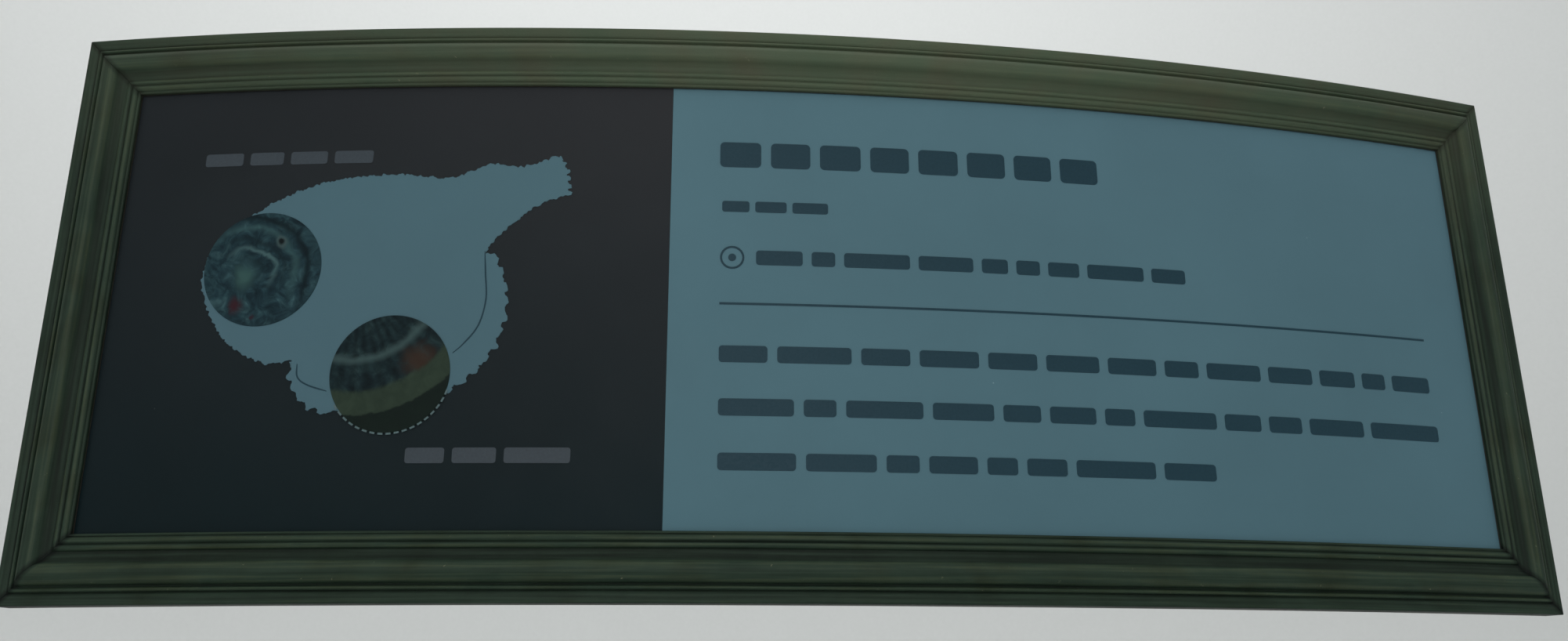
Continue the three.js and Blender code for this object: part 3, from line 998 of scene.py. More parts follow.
# A printed close-up of a fan-shaped fin: dark rays spread from the upper left, with a pale bar
# across them, a rusty patch and a sandy rim. Past the rim the picture is nearly black.
finPictureForm = {
    "mottleSize": 2.6,
    "skin": [(0.3, "#0a1518"), (0.48, "#132124"), (0.6, "#1b2b2d"), (0.75, "#2a3b3c")],
    "rayRoot": (-7.0, 17.0),
    "rayCount": 46.0,  # in a full turn
    "rayShades": (0.78, 1.2),
    "barRadius": 14.5,
    "barWidth": 2.8,
    "barStrength": 0.6,
    "barColour": "#415656",
    "rustPatch": (5.4, 2.4),
    "rustInner": 0.8,
    "rustOuter": 4.6,
    "rustStrength": 0.75,
    "rustColour": "#38291f",
    "rimRadius": 25.6,
    "rimWidth": 4.4,
    "rimRaggedness": 1.6,
    "rimBlur": 0.6,
    "sand": ("#1b261f", "#344236"),
    "edgeBlur": (-0.15, 0.25),
    "pastRim": ("#0b1513", "#15211c"),
}


# Darkens a picture between the rays, which spread from their root.
def withRays(tree, form, fromRoot, skin, mottle):
    sideways, upwards = addNode(tree, "ShaderNodeSeparateXYZ", fromRoot).outputs[:2]
    angle = addNode(tree, "ShaderNodeMath", upwards, sideways, operation="ARCTAN2")
    turns = addNode(tree, "ShaderNodeMath", angle, form["rayCount"], mottle,
                    operation="MULTIPLY_ADD")
    wave = addNode(tree, "ShaderNodeMath", turns, operation="SINE")
    shade = addNode(tree, "ShaderNodeMapRange", wave, -1.0, 1.0, *form["rayShades"])
    return addNode(tree, "ShaderNodeVectorMath", skin, {"Scale": shade}, operation="SCALE")


# Lays the pale bar and the rusty patch over a picture.
def withMarks(tree, form, place, picture, mottle):
    bar = softRing(tree, place, form["rayRoot"], form["barRadius"], form["barWidth"], mottle)
    faint = addNode(tree, "ShaderNodeMath", bar, form["barStrength"], operation="MULTIPLY")
    barred = addNode(tree, "ShaderNodeMix", faint, picture, form["barColour"], data_type="RGBA")
    rust = softSpot(tree, place, form["rustPatch"], form["rustInner"], form["rustOuter"], mottle)
    rusty = addNode(tree, "ShaderNodeMath", rust, form["rustStrength"], operation="MULTIPLY")
    return addNode(tree, "ShaderNodeMix", rusty, barred, form["rustColour"], data_type="RGBA")


# Lays the sandy rim over a picture, and near black past the rim.
def withRim(tree, form, fromRoot, picture, mottle):
    distance = addNode(tree, "ShaderNodeVectorMath", fromRoot, operation="LENGTH")
    ragged = addNode(tree, "ShaderNodeMath", mottle, form["rimRaggedness"], distance,
                     operation="MULTIPLY_ADD")
    start = form["rimRadius"] - form["rimWidth"]
    inRim = addNode(tree, "ShaderNodeMapRange", ragged, start - form["rimBlur"],
                    start + form["rimBlur"], interpolation_type="SMOOTHSTEP")
    sand = addNode(tree, "ShaderNodeMix", mottle, *form["sand"], data_type="RGBA")
    rimmed = addNode(tree, "ShaderNodeMix", inRim, picture, sand, data_type="RGBA")
    edgeFrom, edgeTo = [form["rimRadius"] + blur for blur in form["edgeBlur"]]
    pastRim = addNode(tree, "ShaderNodeMapRange", ragged, edgeFrom, edgeTo,
                      interpolation_type="SMOOTHSTEP")
    dim = addNode(tree, "ShaderNodeMix", mottle, *form["pastRim"], data_type="RGBA")
    return addNode(tree, "ShaderNodeMix", pastRim, rimmed, dim, data_type="RGBA")


def finPicture(form, inset):
    material, tree = newMaterial("printedFinPicture")
    place = insetPlace(tree, inset)
    mottle = addNode(tree, "ShaderNodeTexNoise", place,
                     {"Scale": 1 / form["mottleSize"], "Detail": 5.0, "Roughness": 0.62,
                      "Distortion": 0.5})
    skin = addNode(tree, "ShaderNodeValToRGB", mottle, stops=form["skin"])
    fromRoot = addNode(tree, "ShaderNodeVectorMath", place, (*form["rayRoot"], 0),
                       operation="SUBTRACT")
    rayed = withRays(tree, form, fromRoot, skin, mottle)
    marked = withMarks(tree, form, place, rayed, mottle)
    endPicture(tree, withRim(tree, form, fromRoot, marked, mottle), mottle)
    return material


def circlePoints(centre, radius, count):
    turns = [2 * math.pi * i / count for i in range(count)]
    return [Vector(centre) + radius * Vector((math.cos(t), math.sin(t))) for t in turns]


def makeInset(name, inset, material, slot, replaced):
    outline = circlePoints(inset["centre"], inset["radius"], insetForm["segments"])
    disc = makePiece(name, filmTree, material,
                     {"Lift": insetForm["lift"], "Thickness": insetForm["thickness"]},
                     flatShape(name, outline))
    finishPiece(disc, slot, replaced)


makeInset("headCloseUp", headInset, headPicture(headPictureForm, headInset),
          "head_picture", "inset_head")
makeInset("finCloseUp", finInset, finPicture(finPictureForm, finInset),
          "fin_picture", "inset_fin")
print("close-ups made")


# Printing ink over the laminate, a little glossier than it, with fine unevenness.
inkForm = {
    "unevenSize": 0.5,
    "roughness": (0.42, 0.55),
    "relief": 0.006,
    "specular": 0.12,
}


def printingInk(name, thin, thick, form):
    material, tree = newMaterial(name)
    flat = addNode(tree, "ShaderNodeAttribute", attribute_name="flat").outputs["Vector"]
    cover = addNode(tree, "ShaderNodeTexNoise", flat,
                    {"Scale": 1 / (form["unevenSize"] * mm), "Detail": 3.0})
    colour = addNode(tree, "ShaderNodeMix", cover, thin, thick, data_type="RGBA")
    roughness = addNode(tree, "ShaderNodeMapRange", cover, 0.3, 0.7, *form["roughness"])
    endMaterial(tree, colour, roughness, cover, form["relief"],
                {"Specular IOR Level": form["specular"]})
    return material


slateInk = printingInk("slateInk", "#213b46", "#19333d", inkForm)
captionInk = printingInk("faintGreyInk", "#343b41", "#3f474d", inkForm)
paleInk = printingInk("paleDashInk", "#475a5c", "#586b6d", inkForm)


# A point for each word of a line, with the start and the length of its bar. The words share out
# the line's length at random.
def wordPoints(tree, given):
    points = addNode(tree, "GeometryNodePoints", given["Words"])
    weight = addNode(tree, "FunctionNodeRandomValue", 1.0, given["Longest"], None, given["Seed"],
                     data_type="FLOAT")
    summed = addNode(tree, "GeometryNodeAccumulateField", weight, data_type="FLOAT",
                     domain="POINT").outputs
    length = addNode(tree, "ShaderNodeMath", given["End"], given["Start"], operation="SUBTRACT")
    room = addNode(tree, "ShaderNodeMath", length, given["Gap"], operation="ADD")
    share = addNode(tree, "ShaderNodeMath", room, summed["Total"], operation="DIVIDE")
    barStart = addNode(tree, "ShaderNodeMath", summed["Trailing"], share, given["Start"],
                       operation="MULTIPLY_ADD")
    pitch = addNode(tree, "ShaderNodeMath", weight, share, operation="MULTIPLY")
    barLength = addNode(tree, "ShaderNodeMath", pitch, given["Gap"], operation="SUBTRACT")
    for name, value in (("barStart", barStart), ("barLength", barLength)):
        points = addNode(tree, "GeometryNodeStoreNamedAttribute", points, None, name, value,
                         data_type="FLOAT", domain="POINT")
    return points


# Half a bar's height at a distance from its end, which is less in the round of its corners.
def roundedHalf(tree, given, halfHigh, toEnd):
    inCorner = addNode(tree, "ShaderNodeMath", toEnd, given["Corner"], operation="MINIMUM")
    short = addNode(tree, "ShaderNodeMath", given["Corner"], inCorner, operation="SUBTRACT")
    shortSquare = addNode(tree, "ShaderNodeMath", short, 2.0, operation="POWER")
    cornerSquare = addNode(tree, "ShaderNodeMath", given["Corner"], 2.0, operation="POWER")
    leftSquare = addNode(tree, "ShaderNodeMath", cornerSquare, shortSquare, operation="SUBTRACT")
    rise = addNode(tree, "ShaderNodeMath", leftSquare, operation="SQRT")
    straight = addNode(tree, "ShaderNodeMath", halfHigh, given["Corner"], operation="SUBTRACT")
    return addNode(tree, "ShaderNodeMath", straight, rise, operation="ADD")


# A line of writing as plain rounded bars, one for each word. Each bar is a strip of cross lines,
# which are closer at its ends, where its corners are rounded.
def makeBarTree():
    tree, given = newTree("wordBars", {
        "Start": 0.0, "End": 100.0, "Base": 0.0, "Height": 3.0, "Words": 8, "Gap": 1.6,
        "Corner": 0.6, "Longest": 2.6, "Seed": 0, "Cross Lines": 26, "Lift": 0.01,
        "Thickness": 0.04, "Material": "Material",
    })
    strip = addNode(tree, "GeometryNodeMeshGrid", 2.0, 2.0, given["Cross Lines"], 2)
    strips = addNode(tree, "GeometryNodeInstanceOnPoints", wordPoints(tree, given), None, strip)
    real = addNode(tree, "GeometryNodeRealizeInstances", strips)

    start = addNode(tree, "GeometryNodeInputNamedAttribute", "barStart", data_type="FLOAT")
    long = addNode(tree, "GeometryNodeInputNamedAttribute", "barLength", data_type="FLOAT")
    place = addNode(tree, "GeometryNodeInputPosition")
    across, side = addNode(tree, "ShaderNodeSeparateXYZ", place).outputs[:2]
    quarter = addNode(tree, "ShaderNodeMath", across, math.pi / 2, operation="MULTIPLY")
    eased = addNode(tree, "ShaderNodeMath", quarter, operation="SINE")
    halfLong = addNode(tree, "ShaderNodeMath", long, 0.5, operation="MULTIPLY")
    middle = addNode(tree, "ShaderNodeMath", start, halfLong, operation="ADD")
    along = addNode(tree, "ShaderNodeMath", eased, halfLong, middle, operation="MULTIPLY_ADD")

    fromMiddle = addNode(tree, "ShaderNodeMath", eased, operation="ABSOLUTE")
    passed = addNode(tree, "ShaderNodeMath", fromMiddle, halfLong, operation="MULTIPLY")
    toEnd = addNode(tree, "ShaderNodeMath", halfLong, passed, operation="SUBTRACT")
    halfHigh = addNode(tree, "ShaderNodeMath", given["Height"], 0.5, operation="MULTIPLY")
    halfHere = roundedHalf(tree, given, halfHigh, toEnd)
    barMiddle = addNode(tree, "ShaderNodeMath", given["Base"], halfHigh, operation="ADD")
    up = addNode(tree, "ShaderNodeMath", side, halfHere, barMiddle, operation="MULTIPLY_ADD")
    flatPlace = addNode(tree, "ShaderNodeCombineXYZ", along, up, given["Lift"])
    flat = addNode(tree, "GeometryNodeSetPosition", real, None, flatPlace)
    bars = addNode(tree, "GeometryNodeGroup", {"Geometry": flat, "Thickness": given["Thickness"]},
                   node_tree=thickenTree)
    return endTree(tree, given, bars)


# The lines of the label, in millimetres along it and up from its middle.
bodyForm = {"Height": 3.2, "Gap": 1.8, "Corner": 0.65, "Longest": 2.8}
writingForm = {
    "headingLine": {
        "Start": -21.5, "End": 54.0, "Base": 26.7, "Words": 8, "Seed": 4,
        "Height": 5.2, "Gap": 1.9, "Corner": 0.9, "Longest": 1.05,
    },
    "secondNameLine": {
        "Start": -21.0, "End": -0.7, "Base": 17.5, "Words": 3, "Seed": 2,
        "Height": 2.2, "Gap": 1.1, "Corner": 0.5, "Longest": 1.6,
    },
    "placeLine": {
        "Start": -14.5, "End": 71.0, "Base": 6.9, "Words": 9, "Seed": 9,
        "Height": 2.9, "Gap": 1.7, "Corner": 0.6, "Longest": 2.4,
    },
    "firstBodyLine": {
        "Start": -21.3, "End": 124.5, "Base": -12.1, "Words": 13, "Seed": 5, **bodyForm,
    },
    "secondBodyLine": {
        "Start": -21.3, "End": 125.0, "Base": -22.1, "Words": 12, "Seed": 12, **bodyForm,
    },
    "thirdBodyLine": {
        "Start": -21.3, "End": 73.5, "Base": -32.1, "Words": 8, "Seed": 21, **bodyForm,
    },
}
captionForm = {
    "headCaption": {
        "Start": -121.0, "End": -88.0, "Base": 27.2, "Words": 4, "Seed": 3,
        "Height": 2.6, "Gap": 1.4, "Corner": 0.5, "Longest": 1.9,
    },
    "finCaption": {
        "Start": -77.0, "End": -47.5, "Base": -31.0, "Words": 3, "Seed": 8,
        "Height": 2.8, "Gap": 1.4, "Corner": 0.5, "Longest": 1.9,
    },
}


def makeWriting():
    tree = makeBarTree()
    for lines, ink in ((writingForm, slateInk), (captionForm, captionInk)):
        for name, line in lines.items():
            finishPiece(makePiece(name, tree, ink, line), "ink")


ruleForm = {
    "left": -21.3,
    "right": 125.0,
    "up": -0.8,
    "width": 0.45,
    "lift": 0.01,
    "thickness": 0.04,
}


def makeRule(form):
    bottom = form["up"] - form["width"] / 2
    top = form["up"] + form["width"] / 2
    inputs = sheetInputs(form["left"], form["right"], bottom, top, form["lift"],
                         form["lift"] + form["thickness"])
    finishPiece(makePiece("ruleLine", sheetTree, slateInk, inputs), "ink")


makeWriting()
makeRule(ruleForm)
print("lines of writing made")


# A thin drawn line along a path. Its ends are as wide, beside its middle, as its end share says.
def makeLineTree():
    tree, given = newTree("drawnLine", {
        "Width": 0.3, "Thickness": 0.04, "Lift": 0.13, "Point Spacing": 0.5, "End Share": 1.0,
        "Material": "Material",
    })
    path = addNode(tree, "GeometryNodeMeshToCurve", given["Geometry"])
    smooth = addNode(tree, "GeometryNodeCurveSplineType", path, spline_type="CATMULL_ROM")
    even = addNode(tree, "GeometryNodeResampleCurve", smooth, None, given["Point Spacing"],
                   mode="LENGTH")
    upright = addNode(tree, "GeometryNodeSetCurveNormal", even, mode="Z_UP")
    share = addNode(tree, "GeometryNodeSplineParameter").outputs["Factor"]
    halfTurn = addNode(tree, "ShaderNodeMath", share, math.pi, operation="MULTIPLY")
    belly = addNode(tree, "ShaderNodeMath", halfTurn, operation="SINE")
    width = addNode(tree, "ShaderNodeMapRange", belly, 0.0, 0.5, given["End Share"], 1.0)
    section = addNode(tree, "GeometryNodeCurvePrimitiveQuadrilateral", given["Width"],
                      given["Thickness"])
    drawn = addNode(tree, "GeometryNodeCurveToMesh", upright, section, width, True)
    halfThick = addNode(tree, "ShaderNodeMath", given["Thickness"], 0.5, given["Lift"],
                        operation="MULTIPLY_ADD")
    lift = addNode(tree, "ShaderNodeCombineXYZ", None, None, halfThick)
    lifted = addNode(tree, "GeometryNodeTransform", drawn, lift)
    return endTree(tree, given, lifted)


# Dashes round part of a circle. Each is a small strip, bent to the circle.
def makeDashTree():
    tree, given = newTree("dashedArc", {
        "Centre": (0.0, 0.0, 0.0), "Radius": 11.0, "From": 0.0, "To": 1.0, "Dashes": 12,
        "Dash Share": 0.62, "Width": 0.35, "Cross Lines": 6, "Lift": 0.01, "Thickness": 0.04,
        "Material": "Material",
    })
    points = addNode(tree, "GeometryNodePoints", given["Dashes"])
    index = addNode(tree, "GeometryNodeInputIndex")
    ordered = addNode(tree, "GeometryNodeStoreNamedAttribute", points, None, "dashOrder", index,
                      data_type="FLOAT", domain="POINT")
    strip = addNode(tree, "GeometryNodeMeshGrid", 1.0, 1.0, given["Cross Lines"], 2)
    strips = addNode(tree, "GeometryNodeInstanceOnPoints", ordered, None, strip)
    real = addNode(tree, "GeometryNodeRealizeInstances", strips)

    place = addNode(tree, "GeometryNodeInputPosition")
    across, side = addNode(tree, "ShaderNodeSeparateXYZ", place).outputs[:2]
    order = addNode(tree, "GeometryNodeInputNamedAttribute", "dashOrder", data_type="FLOAT")
    inDash = addNode(tree, "ShaderNodeMath", across, given["Dash Share"], 0.5,
                     operation="MULTIPLY_ADD")
    step = addNode(tree, "ShaderNodeMath", order, inDash, operation="ADD")
    angle = addNode(tree, "ShaderNodeMapRange", step, 0.0, given["Dashes"], given["From"],
                    given["To"])
    radius = addNode(tree, "ShaderNodeMath", side, given["Width"], given["Radius"],
                     operation="MULTIPLY_ADD")
    cosine = addNode(tree, "ShaderNodeMath", angle, operation="COSINE")
    sine = addNode(tree, "ShaderNodeMath", angle, operation="SINE")
    along = addNode(tree, "ShaderNodeMath", radius, cosine, operation="MULTIPLY")
    up = addNode(tree, "ShaderNodeMath", radius, sine, operation="MULTIPLY")
    onArc = addNode(tree, "ShaderNodeCombineXYZ", along, up, given["Lift"])
    flatPlace = addNode(tree, "ShaderNodeVectorMath", onArc, given["Centre"], operation="ADD")
    flat = addNode(tree, "GeometryNodeSetPosition", real, None, flatPlace)
    dashes = addNode(tree, "GeometryNodeGroup", {"Geometry": flat, "Thickness": given["Thickness"]},
                     node_tree=thickenTree)
    return endTree(tree, given, dashes)


# The fold of each fin, part of a dashed ring round the lower close-up, and a small ring with a dot
# before the third line of writing.
drawingForm = {
    "finFold": [
        (-65.2, 9.0), (-64.8, 4.5), (-64.4, -0.5), (-65.5, -5.5), (-68.0, -9.0), (-69.8, -10.7),
    ],
    "farFinFold": [(-98.3, -12.5), (-98.0, -15.0), (-96.0, -16.5), (-92.3, -17.7)],
    "foldWidth": 0.28,
    "foldEndShare": 0.5,
    "foldLift": 0.125,  # just over the fish
    "dashes": 18,
    "dashRadius": 11.2,
    "dashFrom": -150.0,  # in degrees
    "dashTo": -15.0,
    "dashLift": 0.25,  # just over the close-up
    "signCentre": (-19.0, 8.3),
    "signRadius": 2.1,
    "signSteps": 24,
    "signWidth": 0.4,
    "signDotRadius": 0.75,
    "signDotSteps": 32,
    "inkLift": 0.01,
    "inkThickness": 0.04,
}


def pathMesh(name, points, closed=False):
    count = len(points)
    edges = [(i, (i + 1) % count) for i in range(count if closed else count - 1)]
    mesh = bpy.data.meshes.new(name)
    mesh.from_pydata([(*point, 0) for point in points], edges, [])
    return mesh


def makeFolds(tree, form):
    inputs = {
        "Width": form["foldWidth"], "End Share": form["foldEndShare"], "Lift": form["foldLift"],
    }
    for name in ("finFold", "farFinFold"):
        fold = makePiece(name, tree, slateInk, inputs, pathMesh(name, form[name]))
        finishPiece(fold, "ink")


def makeSign(tree, form):
    circle = circlePoints(form["signCentre"], form["signRadius"], form["signSteps"])
    ring = makePiece("signRing", tree, slateInk,
                     {"Width": form["signWidth"], "Lift": form["inkLift"]},
                     pathMesh("signRing", circle, closed=True))
    finishPiece(ring, "ink")
    disc = circlePoints(form["signCentre"], form["signDotRadius"], form["signDotSteps"])
    dot = makePiece("signDot", filmTree, slateInk,
                    {"Lift": form["inkLift"], "Thickness": form["inkThickness"]},
                    flatShape("signDot", disc))
    finishPiece(dot, "ink")


def makeDashedRing(form):
    dashes = makePiece("dashedRing", makeDashTree(), paleInk, {
        "Centre": (*finInset["centre"], 0.0),
        "Radius": form["dashRadius"],
        "From": math.radians(form["dashFrom"]),
        "To": math.radians(form["dashTo"]),
        "Dashes": form["dashes"],
        "Lift": form["dashLift"],
    })
    finishPiece(dashes, "ink")


lineTree = makeLineTree()
makeFolds(lineTree, drawingForm)
makeSign(lineTree, drawingForm)
makeDashedRing(drawingForm)
print("drawn lines made")


# Behind: three strips of foam tape that hold the label up.
tapeForm = {
    "width": 19.0,
    "height": 72.0,
    "front": -3.12,
    "back": -5.25,
    "spacing": 100.0,
    "cellSize": 0.35,
    "stainSize": 9.0,
    "stainTone": 0.35,
    "tones": [(0.2, "#858784"), (0.5, "#a9aaa6"), (1.0, "#bbbcb7")],
    "roughness": (0.85, 0.95),
    "relief": 0.05,
}


# Closed-cell polyethylene foam: pale grey, dead matt, pitted with tiny cells.
def greyTapeFoam(form):
    material, tree = newMaterial("greyTapeFoam")
    place = addNode(tree, "ShaderNodeTexCoord").outputs["Object"]
    cells = addNode(tree, "ShaderNodeTexVoronoi", place, {"Scale": 1 / (form["cellSize"] * mm)})
    stains = addNode(tree, "ShaderNodeTexNoise", place,
                     {"Scale": 1 / (form["stainSize"] * mm), "Detail": 4.0})
    tone = addNode(tree, "ShaderNodeMath", stains, form["stainTone"], cells,
                   operation="MULTIPLY_ADD")
    colour = addNode(tree, "ShaderNodeValToRGB", tone, stops=form["tones"])
    roughness = addNode(tree, "ShaderNodeMapRange", stains, 0.3, 0.7, *form["roughness"])
    endMaterial(tree, colour, roughness, cells, form["relief"])
    return material


def makeTapes(form):
    foam = greyTapeFoam(form)
    for step, side in enumerate(("Left", "Middle", "Right")):
        middle = (step - 1) * form["spacing"]
        left = middle - form["width"] / 2
        right = middle + form["width"] / 2
        top = form["height"] / 2
        tape = makePiece(f"foamTape{side}", sheetTree, foam,
                         sheetInputs(left, right, -top, top, form["back"], form["front"]))
        finishPiece(tape, "foam", f"tape_{side.lower()}")


makeTapes(tapeForm)
print("tapes made")


# Six turn buttons, each held by a screw in the frame, keep the board in its rebate.
fixingForm = {
    "buttonWidth": 5.0,
    "buttonLength": 12.4,
    "buttonFront": -3.45,
    "buttonBack": -4.1,
    "endSteps": 16,  # in each round end of a button
    "bevel": 0.12,
    "screwInset": 2.75,  # from the frame's outer edge
    "buttonsAlong": 78.0,
    "screwSegments": 32,
    "headSeat": -4.12,
    "headProfile": [  # radius and rise over the seat
        (1.85, 0.0), (1.85, 0.16), (1.72, 0.42), (1.35, 0.68), (0.75, 0.82), (0.0, 0.85),
    ],
    "shankRadius": 0.7,
    "shankLength": 2.6,
    "tipLength": 0.6,
    "slotLength": 2.2,
    "slotWidth": 0.48,
    "slotDepth": 0.72,
    "screwSpread": 1.5,  # radians that a screw's recess may be turned
}


# Bright zinc on steel: a cool sheen, faint rolling lines and a few dull spots.
zincForm = {
    "cloudSize": 2.5,
    "grainSize": 0.25,
    "tones": [(0.3, "#8f9498"), (0.55, "#b2b6b9"), (0.75, "#c9cac4")],
    "roughness": (0.5, 0.3),
    "relief": 0.01,
}


def zincPlatedSteel(form):
    material, tree = newMaterial("zincPlatedSteel")
    place = addNode(tree, "ShaderNodeTexCoord").outputs["Object"]
    cloud = addNode(tree, "ShaderNodeTexNoise", place,
                    {"Scale": 1 / (form["cloudSize"] * mm), "Detail": 4.0})
    grain = addNode(tree, "ShaderNodeTexNoise", place,
                    {"Scale": 1 / (form["grainSize"] * mm), "Detail": 2.0})
    colour = addNode(tree, "ShaderNodeValToRGB", cloud, stops=form["tones"])
    roughness = addNode(tree, "ShaderNodeMapRange", cloud, 0.3, 0.7, *form["roughness"])
    endMaterial(tree, colour, roughness, grain, form["relief"], {"Metallic": 1.0})
    return material


# Stands a copy of a piece at each point, with as many quarter turns as the point says and as much
# again at random as its spread allows.
def makeFixingTree():
    tree, given = newTree("fixingsAtPlaces", {
        "Fixing": "Object", "Turn Spread": 0.0, "Seed": 5, "Material": "Material",
    })
    fixing = addNode(tree, "GeometryNodeObjectInfo", given["Fixing"]).outputs["Geometry"]
    turns = addNode(tree, "GeometryNodeInputNamedAttribute", "turns", data_type="FLOAT")
    extra = addNode(tree, "FunctionNodeRandomValue", 0.0, given["Turn Spread"], None,
                    given["Seed"], data_type="FLOAT")
    angle = addNode(tree, "ShaderNodeMath", turns, math.pi / 2, extra, operation="MULTIPLY_ADD")
    turn = addNode(tree, "ShaderNodeCombineXYZ", None, None, angle)
    copies = addNode(tree, "GeometryNodeInstanceOnPoints", given["Geometry"], None, fixing,
                     {"Rotation": turn})
    return endTree(tree, given, copies)


# Where the fixings stand, anticlockwise from the bottom left, each with its quarter turns.
def fixingPlaces(form):
    sideUp = halfHeight - form["screwInset"]
    sideAlong = halfWidth - form["screwInset"]
    inFrom = form["buttonsAlong"]
    places = [
        (-inFrom, -sideUp, 0), (inFrom, -sideUp, 0), (sideAlong, 0, 1),
        (inFrom, sideUp, 2), (-inFrom, sideUp, 2), (-sideAlong, 0, 3),
    ]
    mesh = bpy.data.meshes.new("fixingPlaces")
    mesh.from_pydata([(along, up, 0) for along, up, turns in places], [], [])
    turnsOf = mesh.attributes.new("turns", "FLOAT", "POINT")
    for i, (along, up, turns) in enumerate(places):
        turnsOf.data[i].value = turns
    return mesh


# A round-ended plate that reaches up from its screw, with its edges broken.
def turnButtonPlate(form):
    radius = form["buttonWidth"] / 2
    reach = form["buttonLength"] - form["buttonWidth"]
    outline = []
    for centre, start in ((0, math.pi), (reach, 0)):
        for step in range(form["endSteps"] + 1):
            angle = start + math.pi * step / form["endSteps"]
            outline.append((radius * math.cos(angle), centre + radius * math.sin(angle)))
    work = bmesh.new()
    face = work.faces.new([work.verts.new((*p, form["buttonBack"])) for p in outline])
    made = bmesh.ops.extrude_face_region(work, geom=[face])
    risen = [v for v in made["geom"] if isinstance(v, bmesh.types.BMVert)]
    bmesh.ops.translate(work, verts=risen, vec=(0, 0, form["buttonFront"] - form["buttonBack"]))
    rims = [e for e in work.edges if abs(e.verts[0].co.z - e.verts[1].co.z) < tiny]
    bmesh.ops.bevel(work, geom=rims, offset=form["bevel"], segments=2, affect="EDGES", profile=0.5)
    bmesh.ops.recalc_face_normals(work, faces=work.faces)
    mesh = bpy.data.meshes.new("turnButtonPlate")
    work.to_mesh(mesh)
    work.free()
    return mesh


# The screw's body, turned from its profile: tip, shank and head.
def screwBody(form):
    count = form["screwSegments"]
    seat = form["headSeat"]
    tip = seat + form["shankLength"]
    profile = [
        (0.0, tip),
        (form["shankRadius"], tip - form["tipLength"]),
        (form["shankRadius"], seat),
        *[(radius, seat - rise) for radius, rise in form["headProfile"]],
    ]
    turns = [2 * math.pi * i / count for i in range(count)]
    work = bmesh.new()
    rings = []
    for radius, z in profile:
        if radius == 0:
            ring = [work.verts.new((0, 0, z))] * count
        else:
            ring = [work.verts.new((radius * math.cos(t), radius * math.sin(t), z)) for t in turns]
        rings.append(ring)
    for ring, following in zip(rings, rings[1:]):
        for i in range(count):
            j = (i + 1) % count
            corners = dict.fromkeys((ring[i], ring[j], following[j], following[i]))
            work.faces.new(list(corners))
    bmesh.ops.recalc_face_normals(work, faces=work.faces)
    mesh = bpy.data.meshes.new("crossScrew")
    work.to_mesh(mesh)
    work.free()
    return mesh


# A block, centred on the top of the head, that cuts one slot of the recess.
def slotCutter(size, top):
    work = bmesh.new()
    bmesh.ops.create_cube(work, size=1)
    bmesh.ops.scale(work, vec=size, verts=work.verts)
    bmesh.ops.translate(work, vec=(0, 0, top), verts=work.verts)
    mesh = bpy.data.meshes.new("slotCutter")
    work.to_mesh(mesh)
    work.free()
    cutter = bpy.data.objects.new("slotCutter", mesh)
    scene.collection.objects.link(cutter)
    return cutter


# A pan-head screw, its head away from the reader, with a cross recess cut in it.
def crossScrew(form):
    screw = bpy.data.objects.new("crossScrew", screwBody(form))
    scene.collection.objects.link(screw)
    top = form["headSeat"] - form["headProfile"][-1][1]
    length = form["slotLength"]
    width = form["slotWidth"]
    height = 2 * form["slotDepth"]
    cutters = [slotCutter((length, width, height), top), slotCutter((width, length, height), top)]
    for cutter in cutters:
        cut = screw.modifiers.new("recess", "BOOLEAN")
        cut.operation = "DIFFERENCE"
        cut.object = cutter
        cut.solver = "EXACT"
    evaluated = screw.evaluated_get(bpy.context.evaluated_depsgraph_get())
    recessed = bpy.data.meshes.new_from_object(evaluated)
    for used in (*cutters, screw):
        bpy.data.objects.remove(used)
    return recessed


def makeFixings(form):
    tree = makeFixingTree()
    zinc = zincPlatedSteel(zincForm)
    places = fixingPlaces(form)
    ends = ("bottom_left", "bottom_right", "right", "top_right", "top_left", "left")  # as placed
    for name, shape, kind, spread in (
        ("turnButtons", turnButtonPlate(form), "button", 0.0),
        ("crossScrews", crossScrew(form), "screw", form["screwSpread"]),
    ):
        pattern = bpy.data.objects.new(f"{name}Pattern", shape)
        scene.collection.objects.link(pattern)
        piece = makePiece(name, tree, zinc, {"Fixing": pattern, "Turn Spread": spread}, places)
        bpy.data.objects.remove(pattern)
        finishPiece(piece, "steel", *[f"{kind}_{end}" for end in ends])


makeFixings(fixingForm)
print("fixings made")


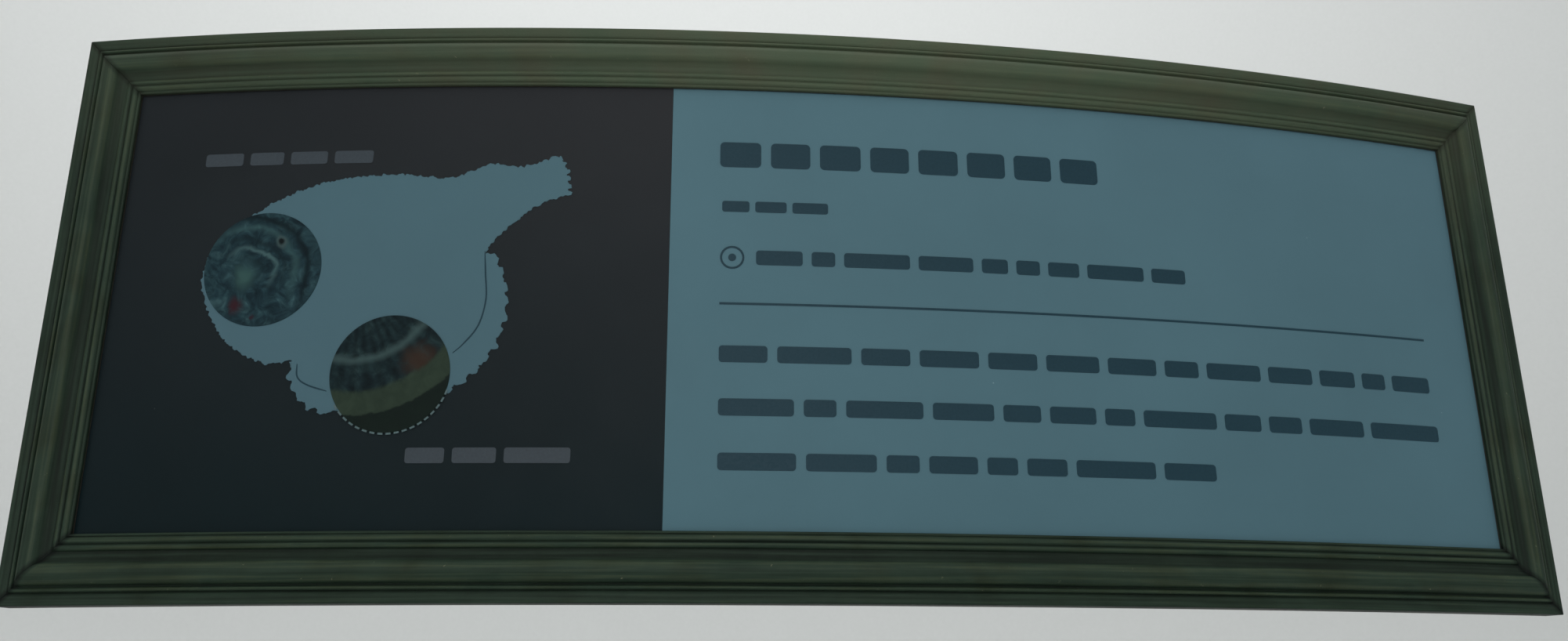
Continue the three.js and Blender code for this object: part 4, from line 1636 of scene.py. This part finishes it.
# A plain pale studio: a round floor that curves up into its wall, with soft lights all round.
stageForm = {
    "floorHeight": -900.0,
    "floorRadius": 4200.0,
    "cornerRadius": 1200.0,
    "cornerSteps": 12,
    "wallHeight": 5800.0,
    "innerShare": 0.3,  # of the floor's radius, where its middle disc ends
    "turnSteps": 96,
    "paperGrain": 12.0,
    "paperTones": ("#bbbdbc", "#c1c3c2"),
    "paperRoughness": (0.88, 0.95),
    "paperRelief": 0.1,
}
lightForm = {
    "key": {"place": (-0.2, -2.65, 0.5), "aim": (0, 0, 0), "size": 1.4, "power": 20.0},
    "fill": {"place": (-1.9, -1.5, 0.3), "aim": (0, 0, 0), "size": 1.2, "power": 5.0},
    "side": {"place": (2.4, -0.9, 0.9), "aim": (0, 0, 0), "size": 1.6, "power": 2.5},
    "top": {"place": (-0.3, -0.4, 2.4), "aim": (0, 0, 0), "size": 2.0, "power": 2.0},
    "back": {"place": (0.6, 2.2, 1.6), "aim": (0, 0, 0), "size": 1.8, "power": 25.0},
    "farWall": {"place": (0, 1.2, 3.2), "aim": (0, 4.2, 1.0), "size": 2.4, "power": 100.0},
    "nearWall": {"place": (0, -2.4, 2.6), "aim": (0, -4.2, 0.4), "size": 2.0, "power": 30.0},
}
worldLight = {"colour": "#f4f5f6", "strength": 1.0}


# Studio paper: nearly white, dead matt, with a faint grain.
def studioPaper(form):
    material, tree = newMaterial("paleStudioPaper")
    place = addNode(tree, "ShaderNodeTexCoord").outputs["Object"]
    grain = addNode(tree, "ShaderNodeTexNoise", place,
                    {"Scale": 1 / (form["paperGrain"] * mm), "Detail": 3.0})
    colour = addNode(tree, "ShaderNodeMix", grain, *form["paperTones"], data_type="RGBA")
    roughness = addNode(tree, "ShaderNodeMapRange", grain, 0.3, 0.7, *form["paperRoughness"])
    endMaterial(tree, colour, roughness, grain, form["paperRelief"])
    return material


# From the floor's middle out and up its wall, as (radius, height).
def stageProfile(form):
    height = form["floorHeight"]
    radius = form["floorRadius"]
    corner = form["cornerRadius"]
    profile = [(0.0, height), (radius * form["innerShare"], height)]
    for step in range(form["cornerSteps"] + 1):
        angle = math.pi / 2 * step / form["cornerSteps"]
        profile.append((radius - corner + corner * math.sin(angle),
                        height + corner - corner * math.cos(angle)))
    return [*profile, (radius, height + form["wallHeight"])]


def makeStage(form):
    work = bmesh.new()
    points = [work.verts.new((r * mm, 0, z * mm)) for r, z in stageProfile(form)]
    edges = [work.edges.new(pair) for pair in zip(points, points[1:])]
    bmesh.ops.spin(work, geom=[*points, *edges], cent=(0, 0, 0), axis=(0, 0, 1),
                   angle=2 * math.pi, steps=form["turnSteps"], use_merge=True)
    bmesh.ops.remove_doubles(work, verts=work.verts, dist=tiny)
    bmesh.ops.recalc_face_normals(work, faces=work.faces)
    mesh = bpy.data.meshes.new("studioFloor")
    work.to_mesh(mesh)
    work.free()
    mesh.shade_smooth()
    mesh.materials.append(studioPaper(form))
    floor = bpy.data.objects.new("studioFloor", mesh)
    scene.collection.objects.link(floor)


def makeLights(forms, world):
    for name, form in forms.items():
        data = bpy.data.lights.new(f"{name}Light", "AREA")
        data.shape = "DISK"
        data.size = form["size"]
        data.energy = form["power"]
        light = bpy.data.objects.new(f"{name}Light", data)
        scene.collection.objects.link(light)
        place = Vector(form["place"])
        turn = (place - Vector(form["aim"])).to_track_quat("Z", "Y").to_matrix().to_4x4()
        light.matrix_world = Matrix.Translation(place) @ turn
    scene.world = bpy.data.worlds.new("paleStudio")
    scene.world.use_nodes = True
    tree = scene.world.node_tree
    tree.nodes.clear()
    light = addNode(tree, "ShaderNodeBackground", world["colour"], world["strength"])
    addNode(tree, "ShaderNodeOutputWorld", light)


makeStage(stageForm)
makeLights(lightForm, worldLight)
print("stage and lights made")
